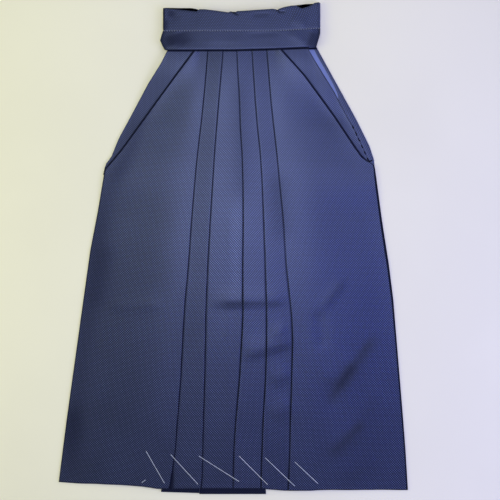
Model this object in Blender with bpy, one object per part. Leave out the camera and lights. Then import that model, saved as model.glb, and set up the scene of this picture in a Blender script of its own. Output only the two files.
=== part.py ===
"""Hakama trousers laid flat with the front up, built as the cloth pieces of the real garment.

X runs to the right of the garment as it is seen from above, Y towards its waist and Z up from the
surface that it lies on. Sizes are in millimetres until a mesh is made. A "drop" is a distance down
the garment from the lower edge of the front band. The origin is under the middle of the garment.
"""

import math
from collections import namedtuple

import bmesh
import bpy

MM = 0.001

# Driving sizes
TOP_EDGE_DROP = -97.7
LONGEST_HEM_DROP = 918.3
MIDDLE_DROP = (TOP_EDGE_DROP + LONGEST_HEM_DROP) / 2
CLOTH = 1.0
BAND_CLOTH = 1.6
GAP = 0.35
LEVEL = CLOTH + GAP
FOLD_STEPS = 3
SHARP_EDGE_DEGREES = 40

# Hems, as drops
LEFT_CORNER_HEM = 893.6
RIGHT_CORNER_HEM = 910.0
LEFT_PLEAT_HEM = 907.5
CENTRE_HEM = 907.0
RIGHT_PLEAT_HEM = 910.8
BACK_HEM = 889.0
BACK_CENTRE_HEM = 903.0
LEFT_INNER_HEM = 914.5
RIGHT_INNER_HEM = LONGEST_HEM_DROP

# Where the panels start, under the band
PANEL_TOP = -36.0
BACK_TOP = -20.4

# How far down the garment the rows of each panel lie, as drops of a 907 mm long panel
ROW_DROPS = (-36, 0, 12, 36, 60, 84, 110, 140, 170, 200, 222, 236, 248, 270, 320,
             390, 480, 580, 680, 770, 845, CENTRE_HEM)

# The turned edges and the pleats' hidden folds, at the band and at the hem
TURNED_EDGE = 9.0
TURNED_EDGE_MOST = 20.0
TURNED_EDGE_GROWTH = 0.1
PLEAT_DEPTH_AT_BAND = 14.0
PLEAT_DEPTH_AT_HEM = 31.0
RAMP_CLEARANCE = 3.0
RAMP_SHARES = (0.2, 0.4, 0.6, 0.8)

Point = namedtuple("Point", "x drop z")
Edge = namedtuple("Edge", "drop x")
Width = namedtuple("Width", "drop width")
WaistEdge = namedtuple("WaistEdge", "x drop step")
Pleats = namedtuple("Pleats", "drop first second middle fourth fifth")
Height = namedtuple("Height", "drop z")
BackFolds = namedtuple("BackFolds", "drop left seam right")
BandEnds = namedtuple("BandEnds", "share left right thickness")

# Front fold lines: the first two face right, the other three face left
PLEAT_LINES = (
    Pleats(2, -55.6, -23.7, 7.3, 39.6, 70.1),
    Pleats(165, -67.2, -33.8, 16.5, 50.4, 85.2),
    Pleats(269, -80.0, -43.0, 19.8, 58.3, 97.4),
    Pleats(393, -90.6, -50.2, 19.4, 64.3, 106.9),
    Pleats(517, -99.7, -55.2, 18.7, 69.2, 118.5),
    Pleats(642, -107.9, -59.1, 15.6, 69.9, 123.3),
    Pleats(766, -117.1, -63.4, 5.9, 62.6, 119.3),
    Pleats(907, -133.8, -67.8, 0.9, 58.1, 114.4),
)

# Outer edges of the front's main panels: a slanted side pleat, then the side seam
LEFT_MAIN_EDGE = (
    Edge(4, -81.5), Edge(99, -152.7), Edge(208, -231.9), Edge(240, -258.8), Edge(248, -265.7),
    Edge(334, -280.4), Edge(414, -295.9), Edge(766, -345.0), Edge(LEFT_CORNER_HEM, -361.3),
)
RIGHT_MAIN_EDGE = (
    Edge(1, 99.3), Edge(53, 146.5), Edge(138, 209.4), Edge(199, 250.0), Edge(222, 266.5),
    Edge(235, 281.4), Edge(240, 292.0), Edge(358, 308.5), Edge(444, 322.0), Edge(517, 331.1),
    Edge(766, 351.6), Edge(825, 356.1), Edge(RIGHT_CORNER_HEM, 361.3),
)

# Outer edges beside the side openings
LEFT_STRIP_EDGE = (
    Edge(2, -135.9), Edge(28, -148.9), Edge(70, -175.6), Edge(123, -204.4), Edge(184, -237.5),
    Edge(221, -252.4), Edge(237, -264.5), Edge(258, -269.2),
)
RIGHT_STRIP_EDGE = (
    Edge(1, 157.6), Edge(83, 207.5), Edge(140, 237.1), Edge(162, 250.0), Edge(190, 263.0),
    Edge(226, 279.6), Edge(232, 281.0),
)
RIGHT_BACK_EDGE = (
    Edge(-7, 171.5), Edge(62, 209.4), Edge(142, 253.7), Edge(199, 281.4), Edge(227, 289.7),
    Edge(240, 290.6),
)
STRIP_END_LEFT = 258.0
STRIP_END_RIGHT = 232.0
BACK_INSET = 2.5

# Undersides of the layers at the side pleats and over the back's folds
SIDE_HEIGHTS = (
    Height(-36, 11.75), Height(10, 11.75), Height(110, 2.7), Height(262, 2.7), Height(340, 0.0),
    Height(907, 0.0),
)
CENTRE_HEIGHTS = (
    Height(-36, 11.75), Height(10, 11.75), Height(110, 5.4), Height(907, 5.4),
)

# The back's hidden folds, turned in from the centre
BACK_FOLD_LINES = (
    BackFolds(-20, -60.0, -20.0, 40.0),
    BackFolds(LONGEST_HEM_DROP, -149.8, -70.3, 67.6),
)

# Turned hems of the back's side openings
OPENING_HEM_WIDTHS = (Width(-7, 4.0), Width(62, 7.0), Width(103, 14.0), Width(230, 14.0))
OPENING_HEM_DROPS = (-7, 28, 62, 84, 103, 142, 170, 199, 230)

# The gusset between the legs
GUSSET_TOP = 430.0
GUSSET_HEM = 900.0
GUSSET_HALF_WIDTHS = (Width(GUSSET_TOP, 40.0), Width(GUSSET_HEM, 62.0))
GUSSET_HEIGHT = 3 * LEVEL

# The front band, from its top edge to its lower edge
BAND_TOP_LEFT, BAND_TOP_RIGHT = -40.2, -44.6
BAND_LOW_LEFT, BAND_LOW_RIGHT = 2.5, -3.3
BAND_EDGE_CLOTH = 0.9
BAND_TOP_Z = 16.6
BAND_RETURN_Z = 10.6
BAND_RETURN_GAP = 4.0
BAND_ROWS = (
    BandEnds(0.0, -144.6, 179.4, BAND_EDGE_CLOTH),
    BandEnds(0.06, -145.8, 179.4, BAND_CLOTH),
    BandEnds(0.28, -148.5, 179.4, BAND_CLOTH),
    BandEnds(0.5, -150.8, 177.0, BAND_CLOTH),
    BandEnds(0.75, -146.6, 174.0, BAND_CLOTH),
    BandEnds(0.94, -142.4, 171.8, BAND_CLOTH),
    BandEnds(1.0, -141.5, 171.1, BAND_EDGE_CLOTH),
)
BAND_RUN_SHARES = (0.1, 0.3, 0.5, 0.7, 0.9)
BAND_FOLD_STEPS = 6

# Folded ties: the front's under the band, the back's above it
FRONT_TIES_X = (-138.0, 168.0)
FRONT_TIES_Z = (4.05, 9.45)
FRONT_TIES_SETBACKS = (0.0, 0.0, 0.0)
FRONT_TIES_SHARES = (0.0, 0.25, 0.5, 0.75, 1.0)
FRONT_TIES_BAND_SHARES = (0.04, 0.96)
BACK_TIES_Z = (2.7, 16.0)
BACK_TIES_SETBACKS = (0.6, 1.6, 0.0, 1.2, 0.4, 0.0)
LAYER_GROOVE = 0.9

# The waist's top edge with the kinks of the folded ties. The back band follows it, and the ties
# lie this far below it
WAIST_EDGE = (
    WaistEdge(-144.6, -88.6, 0.5), WaistEdge(-110.0, -87.3, 3.0), WaistEdge(-80.0, -86.1, 5.8),
    WaistEdge(-74.0, -84.6, 5.2), WaistEdge(-71.0, -84.2, 0.4), WaistEdge(-59.7, -83.2, 0.4),
    WaistEdge(-40.0, -80.7, 0.4), WaistEdge(-21.4, -77.4, 0.4), WaistEdge(-9.0, -76.2, 0.4),
    WaistEdge(-3.0, -78.7, 1.0), WaistEdge(3.4, -78.3, 0.8), WaistEdge(22.7, -79.9, 0.4),
    WaistEdge(81.9, -84.9, 0.4), WaistEdge(85.2, -83.2, 0.4), WaistEdge(92.0, -84.7, 0.6),
    WaistEdge(104.8, -89.0, 0.4), WaistEdge(123.7, -92.1, 0.6), WaistEdge(137.1, -93.6, 5.0),
    WaistEdge(150.0, -95.2, 4.5), WaistEdge(163.0, -96.4, 0.6),
    WaistEdge(178.0, TOP_EDGE_DROP, 0.0),
)
BACK_BAND_X = (-142.0, 176.0)
BACK_BAND_Z = (0.0, 2.35)
BACK_BAND_SETBACKS = (0.0, 0.0)

NAVY = (0.045, 0.055, 0.16)
NAVY_INNER = (0.035, 0.042, 0.12)
PERIWINKLE = (0.17, 0.22, 0.55)


def between(low, high, share):
    return low + share * (high - low)


def smooth(share):
    """A share from 0 to 1 that starts and ends gently."""
    share = min(max(share, 0.0), 1.0)
    return share * share * (3 - 2 * share)


def read(table, at, column, ease=False):
    """A table's column at this value of its first column, held past the first and last rows."""
    if at <= table[0][0]:
        return getattr(table[0], column)
    for above, below in zip(table, table[1:]):
        if at <= below[0]:
            share = (at - above[0]) / (below[0] - above[0])
            share = smooth(share) if ease else share
            return between(getattr(above, column), getattr(below, column), share)
    return getattr(table[-1], column)


def down(table, column, hem, top=PANEL_TOP):
    """A line down the cloth: a function from a share of its length to its x and its drop there."""
    def at(share):
        drop = between(top, hem, share)
        return read(table, drop, column), drop
    return at


def side_height(drop, level):
    """Middle of a layer at the side pleat, where level 0 is the hidden strip."""
    return read(SIDE_HEIGHTS, drop, "z", ease=True) + level * LEVEL + CLOTH / 2


def centre_height(drop, level):
    """Middle of a layer of the front's pleats, where level 0 is the lowest."""
    return read(CENTRE_HEIGHTS, drop, "z", ease=True) + level * LEVEL + CLOTH / 2


def fold(edge_x, drop, side, z_in, z_out, thickness=CLOTH, steps=FOLD_STEPS):
    """Points round a fold whose outermost line is at edge_x. side is 1 where it faces right."""
    middle = (z_in + z_out) / 2
    radius = (z_out - z_in) / 2
    centre_x = edge_x - side * (abs(radius) + thickness / 2)
    points = []
    for step in range(steps + 1):
        turn = math.pi * step / steps
        x = centre_x + side * abs(radius) * math.sin(turn)
        points.append(Point(x, drop, middle - radius * math.cos(turn)))
    return points


def ramp(start, end):
    """Points between two others that leave and arrive level."""
    points = [start]
    for share in RAMP_SHARES:
        points.append(Point(
            between(start.x, end.x, share),
            between(start.drop, end.drop, share),
            between(start.z, end.z, smooth(share)),
        ))
    points.append(end)
    return points


def material(name, colour):
    made = bpy.data.materials.new(name)
    made.use_nodes = True
    shader = made.node_tree.nodes["Principled BSDF"]
    shader.inputs["Base Color"].default_value = (*colour, 1.0)
    shader.inputs["Roughness"].default_value = 0.8
    shader.inputs["Metallic"].default_value = 0.0
    return made


def solid(name, rings, colour):
    """A closed solid through rings of points, capped at the first and the last.

    Each ring runs out along one side and back along the other, point against point.
    """
    mesh = bmesh.new()
    made_rings = []
    for ring in rings:
        made_rings.append([
            mesh.verts.new((p.x * MM, (MIDDLE_DROP - p.drop) * MM, p.z * MM)) for p in ring
        ])
    count = len(rings[0])
    for upper, lower in zip(made_rings, made_rings[1:]):
        for index in range(count):
            after = (index + 1) % count
            mesh.faces.new((upper[index], upper[after], lower[after], lower[index]))
    for ring in (made_rings[0], made_rings[-1]):
        for index in range(count // 2 - 1):
            across = count - 1 - index
            mesh.faces.new((ring[index], ring[index + 1], ring[across - 1], ring[across]))
    bmesh.ops.triangulate(mesh, faces=mesh.faces[:])
    bmesh.ops.recalc_face_normals(mesh, faces=mesh.faces[:])
    data = bpy.data.meshes.new(name)
    mesh.to_mesh(data)
    mesh.free()
    data.shade_smooth()
    data.set_sharp_from_angle(angle=math.radians(SHARP_EDGE_DEGREES))
    data.materials.append(material(name, colour))
    made = bpy.data.objects.new(name, data)
    bpy.context.scene.collection.objects.link(made)
    return made


def ring_round(path, thickness):
    """The outline of a wall of this thickness round a path, seen along the garment."""
    above, below = [], []
    last = len(path) - 1
    for index, point in enumerate(path):
        before = path[max(index - 1, 0)]
        after = path[min(index + 1, last)]
        run_x, run_z = 0.0, 0.0
        for start, end in ((before, point), (point, after)):
            length = math.hypot(end.x - start.x, end.z - start.z)
            if length > 0:
                run_x += (end.x - start.x) / length
                run_z += (end.z - start.z) / length
        length = math.hypot(run_x, run_z)
        off_x = -run_z / length * thickness / 2
        off_z = run_x / length * thickness / 2
        above.append(Point(point.x + off_x, point.drop, point.z + off_z))
        below.append(Point(point.x - off_x, point.drop, point.z - off_z))
    return above + below[::-1]


def wall(name, paths, colour, thickness=CLOTH):
    return solid(name, [ring_round(path, thickness) for path in paths], colour)


def row_shares():
    length = CENTRE_HEM - PANEL_TOP
    return [(drop - PANEL_TOP) / length for drop in ROW_DROPS]


def turned_width(drop):
    """How far a main panel's outer edge is turned under."""
    return min(TURNED_EDGE + TURNED_EDGE_GROWTH * max(drop, 0.0), TURNED_EDGE_MOST)


def pleat_depth(share):
    return between(PLEAT_DEPTH_AT_BAND, PLEAT_DEPTH_AT_HEM, share)


def outer_edge(edge_x, drop, side):
    """A main panel's outer edge from its hidden end: turned under, then folded to the top."""
    inward = -side
    under = side_height(drop, 1)
    top = side_height(drop, 2)
    points = [Point(edge_x + inward * turned_width(drop), drop, under)]
    points += fold(edge_x, drop, side, under, top)
    return points


def knife_pleat(line_x, drop, side, depth, down_from_top):
    """A pleat's fold on top and its hidden fold, from the panel that lies on top or to it."""
    low, middle, high = (centre_height(drop, level) for level in range(3))
    visible = fold(line_x, drop, side, middle, high)
    hidden = fold(line_x - side * depth, drop, -side, low, middle)
    points = hidden + visible
    return points[::-1] if down_from_top else points


def front_left_path(share):
    """From the left outer edge over two pleats to the hidden end under the middle pleat."""
    edge_x, edge_drop = down(LEFT_MAIN_EDGE, "x", LEFT_CORNER_HEM)(share)
    first_x, first_drop = down(PLEAT_LINES, "first", LEFT_PLEAT_HEM)(share)
    second_x, second_drop = down(PLEAT_LINES, "second", CENTRE_HEM)(share)
    middle_x, middle_drop = down(PLEAT_LINES, "middle", CENTRE_HEM)(share)
    depth = pleat_depth(share)
    reach = depth + RAMP_CLEARANCE
    points = outer_edge(edge_x, edge_drop, -1)
    points += ramp(
        Point(edge_x + RAMP_CLEARANCE, edge_drop, side_height(edge_drop, 2)),
        Point(first_x - reach, first_drop, centre_height(first_drop, 2)),
    )
    points += knife_pleat(first_x, first_drop, 1, depth, True)
    points += ramp(
        Point(first_x + RAMP_CLEARANCE, first_drop, centre_height(first_drop, 0)),
        Point(second_x - reach, second_drop, centre_height(second_drop, 2)),
    )
    points += knife_pleat(second_x, second_drop, 1, depth, True)
    low = centre_height(middle_drop, 0)
    points.append(Point(between(second_x, middle_x, 0.3), second_drop, low))
    points.append(Point(between(second_x, middle_x, 0.7), middle_drop, low))
    points.append(Point(middle_x + depth, middle_drop, low))
    return points


def front_right_path(share):
    """From the middle pleat's hidden end over three pleats to the right outer edge."""
    middle_x, middle_drop = down(PLEAT_LINES, "middle", CENTRE_HEM)(share)
    fourth_x, fourth_drop = down(PLEAT_LINES, "fourth", CENTRE_HEM)(share)
    fifth_x, fifth_drop = down(PLEAT_LINES, "fifth", RIGHT_PLEAT_HEM)(share)
    edge_x, edge_drop = down(RIGHT_MAIN_EDGE, "x", RIGHT_CORNER_HEM)(share)
    depth = pleat_depth(share)
    reach = depth + RAMP_CLEARANCE
    under, top = centre_height(middle_drop, 1), centre_height(middle_drop, 2)
    points = [Point(middle_x + depth, middle_drop, under)]
    points += fold(middle_x, middle_drop, -1, under, top)
    points += ramp(
        Point(middle_x + reach, middle_drop, top),
        Point(fourth_x - RAMP_CLEARANCE, fourth_drop, centre_height(fourth_drop, 0)),
    )
    points += knife_pleat(fourth_x, fourth_drop, -1, depth, False)
    points += ramp(
        Point(fourth_x + reach, fourth_drop, centre_height(fourth_drop, 2)),
        Point(fifth_x - RAMP_CLEARANCE, fifth_drop, centre_height(fifth_drop, 0)),
    )
    points += knife_pleat(fifth_x, fifth_drop, -1, depth, False)
    points += ramp(
        Point(fifth_x + reach, fifth_drop, centre_height(fifth_drop, 2)),
        Point(edge_x - RAMP_CLEARANCE, edge_drop, side_height(edge_drop, 2)),
    )
    points += outer_edge(edge_x, edge_drop, 1)[::-1]
    return points


def front_panels():
    wall("front_left", [front_left_path(share) for share in row_shares()], NAVY)
    wall("front_right", [front_right_path(share) for share in row_shares()], NAVY)


def side_strip(name, main_edge, strip_edge, end, side):
    """The layer outside a side pleat, from under the main panel to the opening's edge."""
    hem = main_edge[-1].drop
    drops = [between(PANEL_TOP, hem, share) for share in row_shares()]
    drops = [drop for drop in drops if drop < end - RAMP_CLEARANCE] + [end]
    paths = []
    for drop in drops:
        inner_x = read(main_edge, drop, "x") - side * turned_width(drop)
        outer_x = read(strip_edge, drop, "x")
        z = side_height(drop, 0)
        paths.append([Point(between(inner_x, outer_x, share), drop, z) for share in (0, 0.5, 1)])
    wall(name, paths, NAVY_INNER)


def back_edge_left(drop):
    """The back's left edge lies a little inside the front's."""
    if drop < STRIP_END_LEFT:
        return read(LEFT_STRIP_EDGE, drop, "x") + BACK_INSET
    return read(LEFT_MAIN_EDGE, drop, "x") + BACK_INSET


def back_edge_right(drop):
    """The back's right edge shows beside the opening and lies inside the front's below it."""
    if drop < RIGHT_BACK_EDGE[-1].drop:
        return read(RIGHT_BACK_EDGE, drop, "x")
    return read(RIGHT_MAIN_EDGE, drop, "x") - BACK_INSET


def back_path(share, edge_x_at, fold_column, inner_hem, side):
    """From the outer edge to the centre, back out and in again to the centre seam."""
    low, middle, high = (level * LEVEL + CLOTH / 2 for level in range(3))
    edge_drop = between(BACK_TOP, BACK_HEM, share)
    centre_drop = between(BACK_TOP, BACK_CENTRE_HEM, share)
    inner_drop = between(BACK_TOP, inner_hem, share)
    edge_x = edge_x_at(edge_drop)
    fold_x = read(BACK_FOLD_LINES, inner_drop, fold_column)
    seam_x = read(BACK_FOLD_LINES, inner_drop, "seam") + side * GAP / 2
    centre_x = side * GAP / 2
    points = [Point(edge_x, edge_drop, low), Point(edge_x / 2, edge_drop, low)]
    points += fold(centre_x, centre_drop, -side, low, middle)
    points += fold(fold_x, inner_drop, side, middle, high)
    points.append(Point(between(fold_x, seam_x, 0.5), inner_drop, high))
    points.append(Point(seam_x, inner_drop, high))
    return points


def back_panels():
    shares = row_shares()
    left = [back_path(share, back_edge_left, "left", LEFT_INNER_HEM, -1) for share in shares]
    right = [back_path(share, back_edge_right, "right", RIGHT_INNER_HEM, 1) for share in shares]
    wall("back_left", left, NAVY_INNER)
    wall("back_right", right, PERIWINKLE)


def opening_hem(name, edge_x_at, side):
    """The narrow hem turned onto the back's inner face beside a side opening."""
    z = LEVEL + CLOTH / 2
    paths = []
    for drop in OPENING_HEM_DROPS:
        outer_x = edge_x_at(drop)
        inner_x = outer_x - side * read(OPENING_HEM_WIDTHS, drop, "width")
        paths.append([Point(inner_x, drop, z), Point(outer_x, drop, z)])
    wall(name, paths, NAVY)


def crotch_gusset():
    z = GUSSET_HEIGHT + CLOTH / 2
    paths = []
    for drop in (GUSSET_TOP, (GUSSET_TOP + GUSSET_HEM) / 2, GUSSET_HEM):
        half = read(GUSSET_HALF_WIDTHS, drop, "width")
        paths.append([Point(-half, drop, z), Point(0.0, drop, z), Point(half, drop, z)])
    wall("crotch_gusset", paths, NAVY_INNER)


def band_drop(x, share):
    """Drop of a point of the front band, from its top edge to its lower edge."""
    along = (x - BAND_ROWS[0].left) / (BAND_ROWS[0].right - BAND_ROWS[0].left)
    top = between(BAND_TOP_LEFT, BAND_TOP_RIGHT, along)
    low = between(BAND_LOW_LEFT, BAND_LOW_RIGHT, along)
    return between(top, low, share)


def front_band():
    """The band folded round at both ends into the ties' first turns, which lie beneath it."""
    rings = []
    for row in BAND_ROWS:
        path = [Point(-BAND_RETURN_GAP / 2, 0.0, BAND_RETURN_Z)]
        path += fold(row.left, 0.0, -1, BAND_RETURN_Z, BAND_TOP_Z, BAND_CLOTH, BAND_FOLD_STEPS)
        for share in BAND_RUN_SHARES:
            path.append(Point(between(row.left, row.right, share), 0.0, BAND_TOP_Z))
        path += fold(row.right, 0.0, 1, BAND_TOP_Z, BAND_RETURN_Z, BAND_CLOTH, BAND_FOLD_STEPS)
        path.append(Point(BAND_RETURN_GAP / 2, 0.0, BAND_RETURN_Z))
        placed = [Point(p.x, band_drop(p.x, row.share), p.z) for p in path]
        rings.append(ring_round(placed, row.thickness))
    solid("front_band", rings, NAVY)


def layered_edge(drop, outward, z_low, z_high, setbacks):
    """Points up a folded bundle's edge: each layer is rounded, with a groove to the next."""
    count = len(setbacks)
    height = (z_high - z_low) / count
    points = []
    for layer, setback in enumerate(setbacks):
        foot = z_low + layer * height
        edge = drop - outward * setback
        points.append((edge - outward * LAYER_GROOVE, foot))
        points.append((edge, foot + 0.25 * height))
        points.append((edge, foot + 0.75 * height))
    points.append((drop - outward * (setbacks[-1] + LAYER_GROOVE), z_high))
    return points


def bundle(name, sections, z_range, setbacks, colour):
    """A folded bundle through sections of (x, top drop, lower drop), layered at both edges."""
    rings = []
    for x, top, low in sections:
        upper = layered_edge(top, -1, *z_range, setbacks)
        lower = layered_edge(low, 1, *z_range, (0.0,) * len(setbacks))
        rings.append([Point(x, drop, z) for drop, z in upper + lower[::-1]])
    solid(name, rings, colour)


def folded_ties():
    sections = []
    upper, lower = FRONT_TIES_BAND_SHARES
    for share in FRONT_TIES_SHARES:
        x = between(*FRONT_TIES_X, share)
        sections.append((x, band_drop(x, upper), band_drop(x, lower)))
    bundle("front_ties", sections, FRONT_TIES_Z, FRONT_TIES_SETBACKS, NAVY_INNER)
    sections = [(row.x, row.drop + row.step, band_drop(row.x, 0.0) - GAP) for row in WAIST_EDGE]
    bundle("back_ties", sections, BACK_TIES_Z, BACK_TIES_SETBACKS, NAVY)


def back_band():
    left, right = BACK_BAND_X
    sections = [(min(max(row.x, left), right), row.drop, BACK_TOP - GAP) for row in WAIST_EDGE]
    bundle("back_band", sections, BACK_BAND_Z, BACK_BAND_SETBACKS, NAVY_INNER)


def clear_scene():
    for obj in list(bpy.data.objects):
        bpy.data.objects.remove(obj, do_unlink=True)


def main():
    clear_scene()
    front_panels()
    side_strip("side_strip_left", LEFT_MAIN_EDGE, LEFT_STRIP_EDGE, STRIP_END_LEFT, -1)
    side_strip("side_strip_right", RIGHT_MAIN_EDGE, RIGHT_STRIP_EDGE, STRIP_END_RIGHT, 1)
    back_panels()
    opening_hem("opening_hem_left", back_edge_left, -1)
    opening_hem("opening_hem_right", back_edge_right, 1)
    crotch_gusset()
    front_band()
    folded_ties()
    back_band()


main()
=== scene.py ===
"""Hakama trousers laid flat, front up: the finished cloth, folds, ties and stitches.

Lengths of the garment are written in millimetres, as a maker measures them. X runs to the right as
the garment is seen from above, and a "drop" runs down it from the lower edge of the front band.
"""

import math
from collections import namedtuple

import bpy
import numpy as np
from bpy.props import FloatProperty, FloatVectorProperty, IntProperty, PointerProperty
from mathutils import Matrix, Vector, noise
from mathutils.bvhtree import BVHTree


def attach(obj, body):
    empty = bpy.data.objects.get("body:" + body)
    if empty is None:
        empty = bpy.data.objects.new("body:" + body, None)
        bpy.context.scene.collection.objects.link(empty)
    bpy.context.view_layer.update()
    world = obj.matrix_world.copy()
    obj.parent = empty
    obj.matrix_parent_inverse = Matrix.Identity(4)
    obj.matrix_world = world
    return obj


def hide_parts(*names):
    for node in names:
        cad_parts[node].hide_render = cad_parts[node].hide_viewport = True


bl_info = {
    "name": "Hakama Trousers Laid Flat",
    "version": (1, 0, 0),
    "blender": (4, 5, 0),
    "location": "3D View > Sidebar > Hakama",
    "description": "Makes the cloth, folds, ties and stitches of hakama trousers laid flat",
    "category": "Object",
}

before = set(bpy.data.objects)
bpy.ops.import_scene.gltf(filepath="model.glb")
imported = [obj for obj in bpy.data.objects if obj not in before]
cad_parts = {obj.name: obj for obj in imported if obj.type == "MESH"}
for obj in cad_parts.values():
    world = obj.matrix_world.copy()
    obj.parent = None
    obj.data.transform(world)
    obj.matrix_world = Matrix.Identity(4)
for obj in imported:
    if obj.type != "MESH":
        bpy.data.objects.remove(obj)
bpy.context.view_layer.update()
BODY = "root"

MM = 0.001

# Driving sizes, as in the solids
TOP_EDGE_DROP = -97.7
LONGEST_HEM_DROP = 918.3
MIDDLE_DROP = (TOP_EDGE_DROP + LONGEST_HEM_DROP) / 2
SOLID_CLOTH = 1.0
GAP = 0.35
LEVEL = SOLID_CLOTH + GAP

LEFT_CORNER_HEM = 893.6
RIGHT_CORNER_HEM = 910.0
LEFT_PLEAT_HEM = 907.5
CENTRE_HEM = 907.0
RIGHT_PLEAT_HEM = 910.8
BACK_HEM = 889.0
BACK_CENTRE_HEM = 903.0
LEFT_INNER_HEM = 916.3
INNER_HEM_TILT = 2.4
RIGHT_INNER_HEM = LONGEST_HEM_DROP
PANEL_TOP = -36.0
BACK_TOP = -20.4

TURNED_EDGE = 9.0
TURNED_EDGE_MOST = 20.0
TURNED_EDGE_GROWTH = 0.1
PLEAT_DEPTH_AT_BAND = 9.0
PLEAT_DEPTH_AT_HEM = 26.0
RAMP_CLEARANCE = 3.0


def named(kind, *values):
    """A table whose values have names."""
    return tuple(kind(*row) for row in values)


Edges = namedtuple("Edges", "drop left right")

# The front panels' rows of points, and the shade painted beside their folds as dark lines
MAIN_COLUMNS = 30
PLEAT_COLUMNS = 8
CENTRE_COLUMNS = 14
CREVICE_OFFSETS = (0.0, 0.5, 1.0, 1.5, 2.0, 2.8, 4.0)
CREVICE_DIP = 0.5
FOLD_ROOM = 1.5
CREVICE_SOFT_SHADE = 0.16
# The main panels' outer edges: how dark the shade painted along them is and how wide that dark line
# is
EDGE_SHADES = named(Edges, (240, 0.9, 0.9), (275, 0.3, 0.95))
EDGE_WIDTHS = named(Edges, (232, 1.7, 1.7), (262, 1.4, 3.6), (420, 1.4, 4.4),
                    (600, 1.4, 3.0), (907, 1.4, 2.8))
EDGE_CLEARANCE = 1.4
# Shade painted along the side strips' outer edges, and over the strips
STRIP_EDGE_SHADE = 0.45
STRIP_SHADES = named(Edges, (10, 0.0, 0.0), (60, 0.2, 0.14), (150, 0.24, 0.0))
# A narrow dark line of shade painted along the front panels' hem
HEM_LINE_SHADE = 0.75
HEM_LINE_WIDTH = 1.6
# Rows of points that stand closer, to hold the shadow painted below the front band's lower edge and
# the dark line painted at the hem
BAND_SHADOW_DROPS = tuple(-7.0 + 0.85 * step for step in range(17))
HEM_INSETS = (0.7, 1.5, 2.3, 3.4)

Point = namedtuple("Point", "x drop z shade")
Edge = namedtuple("Edge", "drop x")
Width = namedtuple("Width", "drop width")
WaistEdge = namedtuple("WaistEdge", "x drop step")
Pleats = namedtuple("Pleats", "drop first second middle fourth fifth")
Height = namedtuple("Height", "drop z")
BackFolds = namedtuple("BackFolds", "drop left seam right")
BandEnds = namedtuple("BandEnds", "share left right")
BandEdge = namedtuple("BandEdge", "x top low")
# A ridge or trough, drawn from right to left, with how far it reaches above and below its line,
# and the shade painted along it: darker where positive, a painted highlight where negative
Crease = namedtuple("Crease", "x drop end_x end_drop above below height shade",
                    defaults=(0.0,))
Thread = namedtuple("Thread", "x drop end_x end_drop")

PLEAT_LINES = named(Pleats,
    (2, -53.1, -21.8, 7.9, 39.2, 69.8), (42, -56.3, -25.3, 9.8, 41.8, 73.0),
    (100, -61.6, -30.3, 13.4, 45.7, 77.9), (158, -67.9, -35.2, 15.1, 50.5, 84.1),
    (216, -75.0, -39.8, 18.9, 56.7, 90.7), (274, -80.5, -43.5, 20.7, 60.4, 96.5),
    (361, -87.8, -49.3, 21.2, 63.8, 104.8), (448, -94.0, -54.0, 20.4, 67.0, 110.2),
    (520, -100.7, -57.1, 20.7, 69.3, 118.3), (550, -102.8, -57.9, 20.9, 69.6, 121.4),
    (600, -105.6, -58.7, 18.4, 69.8, 123.5), (680, -109.7, -60.2, 13.7, 67.7, 121.7),
    (766, -116.4, -62.9, 6.0, 62.5, 118.6), (825, -120.9, -64.3, 2.4, 60.2, 118.0),
    (854, -124.7, -65.0, 1.4, 59.0, 116.7), (883, -129.6, -65.8, 1.2, 58.6, 115.4),
    (907, -133.8, -67.8, 0.9, 58.1, 114.4),
)
# How dark the shade painted beside each pleat is
LINE_SHADES = named(Pleats,
    (2, 0.95, 0.65, 0.4, 0.5, 0.55), (130, 0.8, 0.75, 0.3, 0.4, 0.45),
    (200, 0.65, 0.7, 0.6, 0.35, 0.4), (270, 0.6, 0.65, 0.85, 0.4, 0.3),
    (400, 0.55, 0.6, 0.92, 0.45, 0.25), (480, 0.7, 0.65, 0.96, 0.6, 0.45),
    (640, 0.92, 0.9, 0.96, 0.96, 0.96), (907, 0.98, 0.98, 0.96, 0.96, 0.98),
)
# How far the hem of the front runs above the solids' straight one
HEM_RISES = named(Height,
    (-325, 0.0), (-272, 2.3), (-222, 3.8), (-190, 3.7), (-172, 2.6),
    (-150, 0.0), (160, 0.2), (176, 1.3), (200, 1.7), (242, 0.9),
    (300, 0.9), (350, 0.0),
)
HEM_RISE_START = 700.0
LEFT_MAIN_EDGE = named(Edge,
    (4, -81.5), (99, -152.7), (208, -231.9), (240, -258.8), (248, -265.7),
    (334, -280.4), (414, -295.9), (766, -345.0), (LEFT_CORNER_HEM, -361.3),
)
RIGHT_MAIN_EDGE = named(Edge,
    (1, 99.3), (53, 146.5), (138, 209.4), (199, 250.0), (222, 266.5),
    (233, 281.4), (238, 292.0), (358, 308.5), (444, 322.0), (517, 331.1),
    (766, 351.6), (825, 356.1), (RIGHT_CORNER_HEM, 361.3),
)
LEFT_STRIP_EDGE = named(Edge,
    (2, -135.9), (28, -148.9), (70, -175.6), (123, -204.4), (184, -237.5),
    (221, -252.4), (237, -264.5), (258, -269.2),
)
RIGHT_STRIP_EDGE = named(Edge,
    (1, 156.0), (11, 161.8), (26, 170.4), (57, 189.8), (87, 209.0),
    (103, 217.0), (140, 237.1), (162, 250.0), (190, 263.0), (226, 279.6),
    (232, 281.0),
)
RIGHT_BACK_EDGE = named(Edge,
    (-7, 171.5), (62, 209.4), (142, 253.7), (199, 281.9), (227, 291.0),
    (240, 292.6),
)
STRIP_END_LEFT = 258.0
STRIP_END_RIGHT = 232.0
BACK_INSET = 2.5

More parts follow.
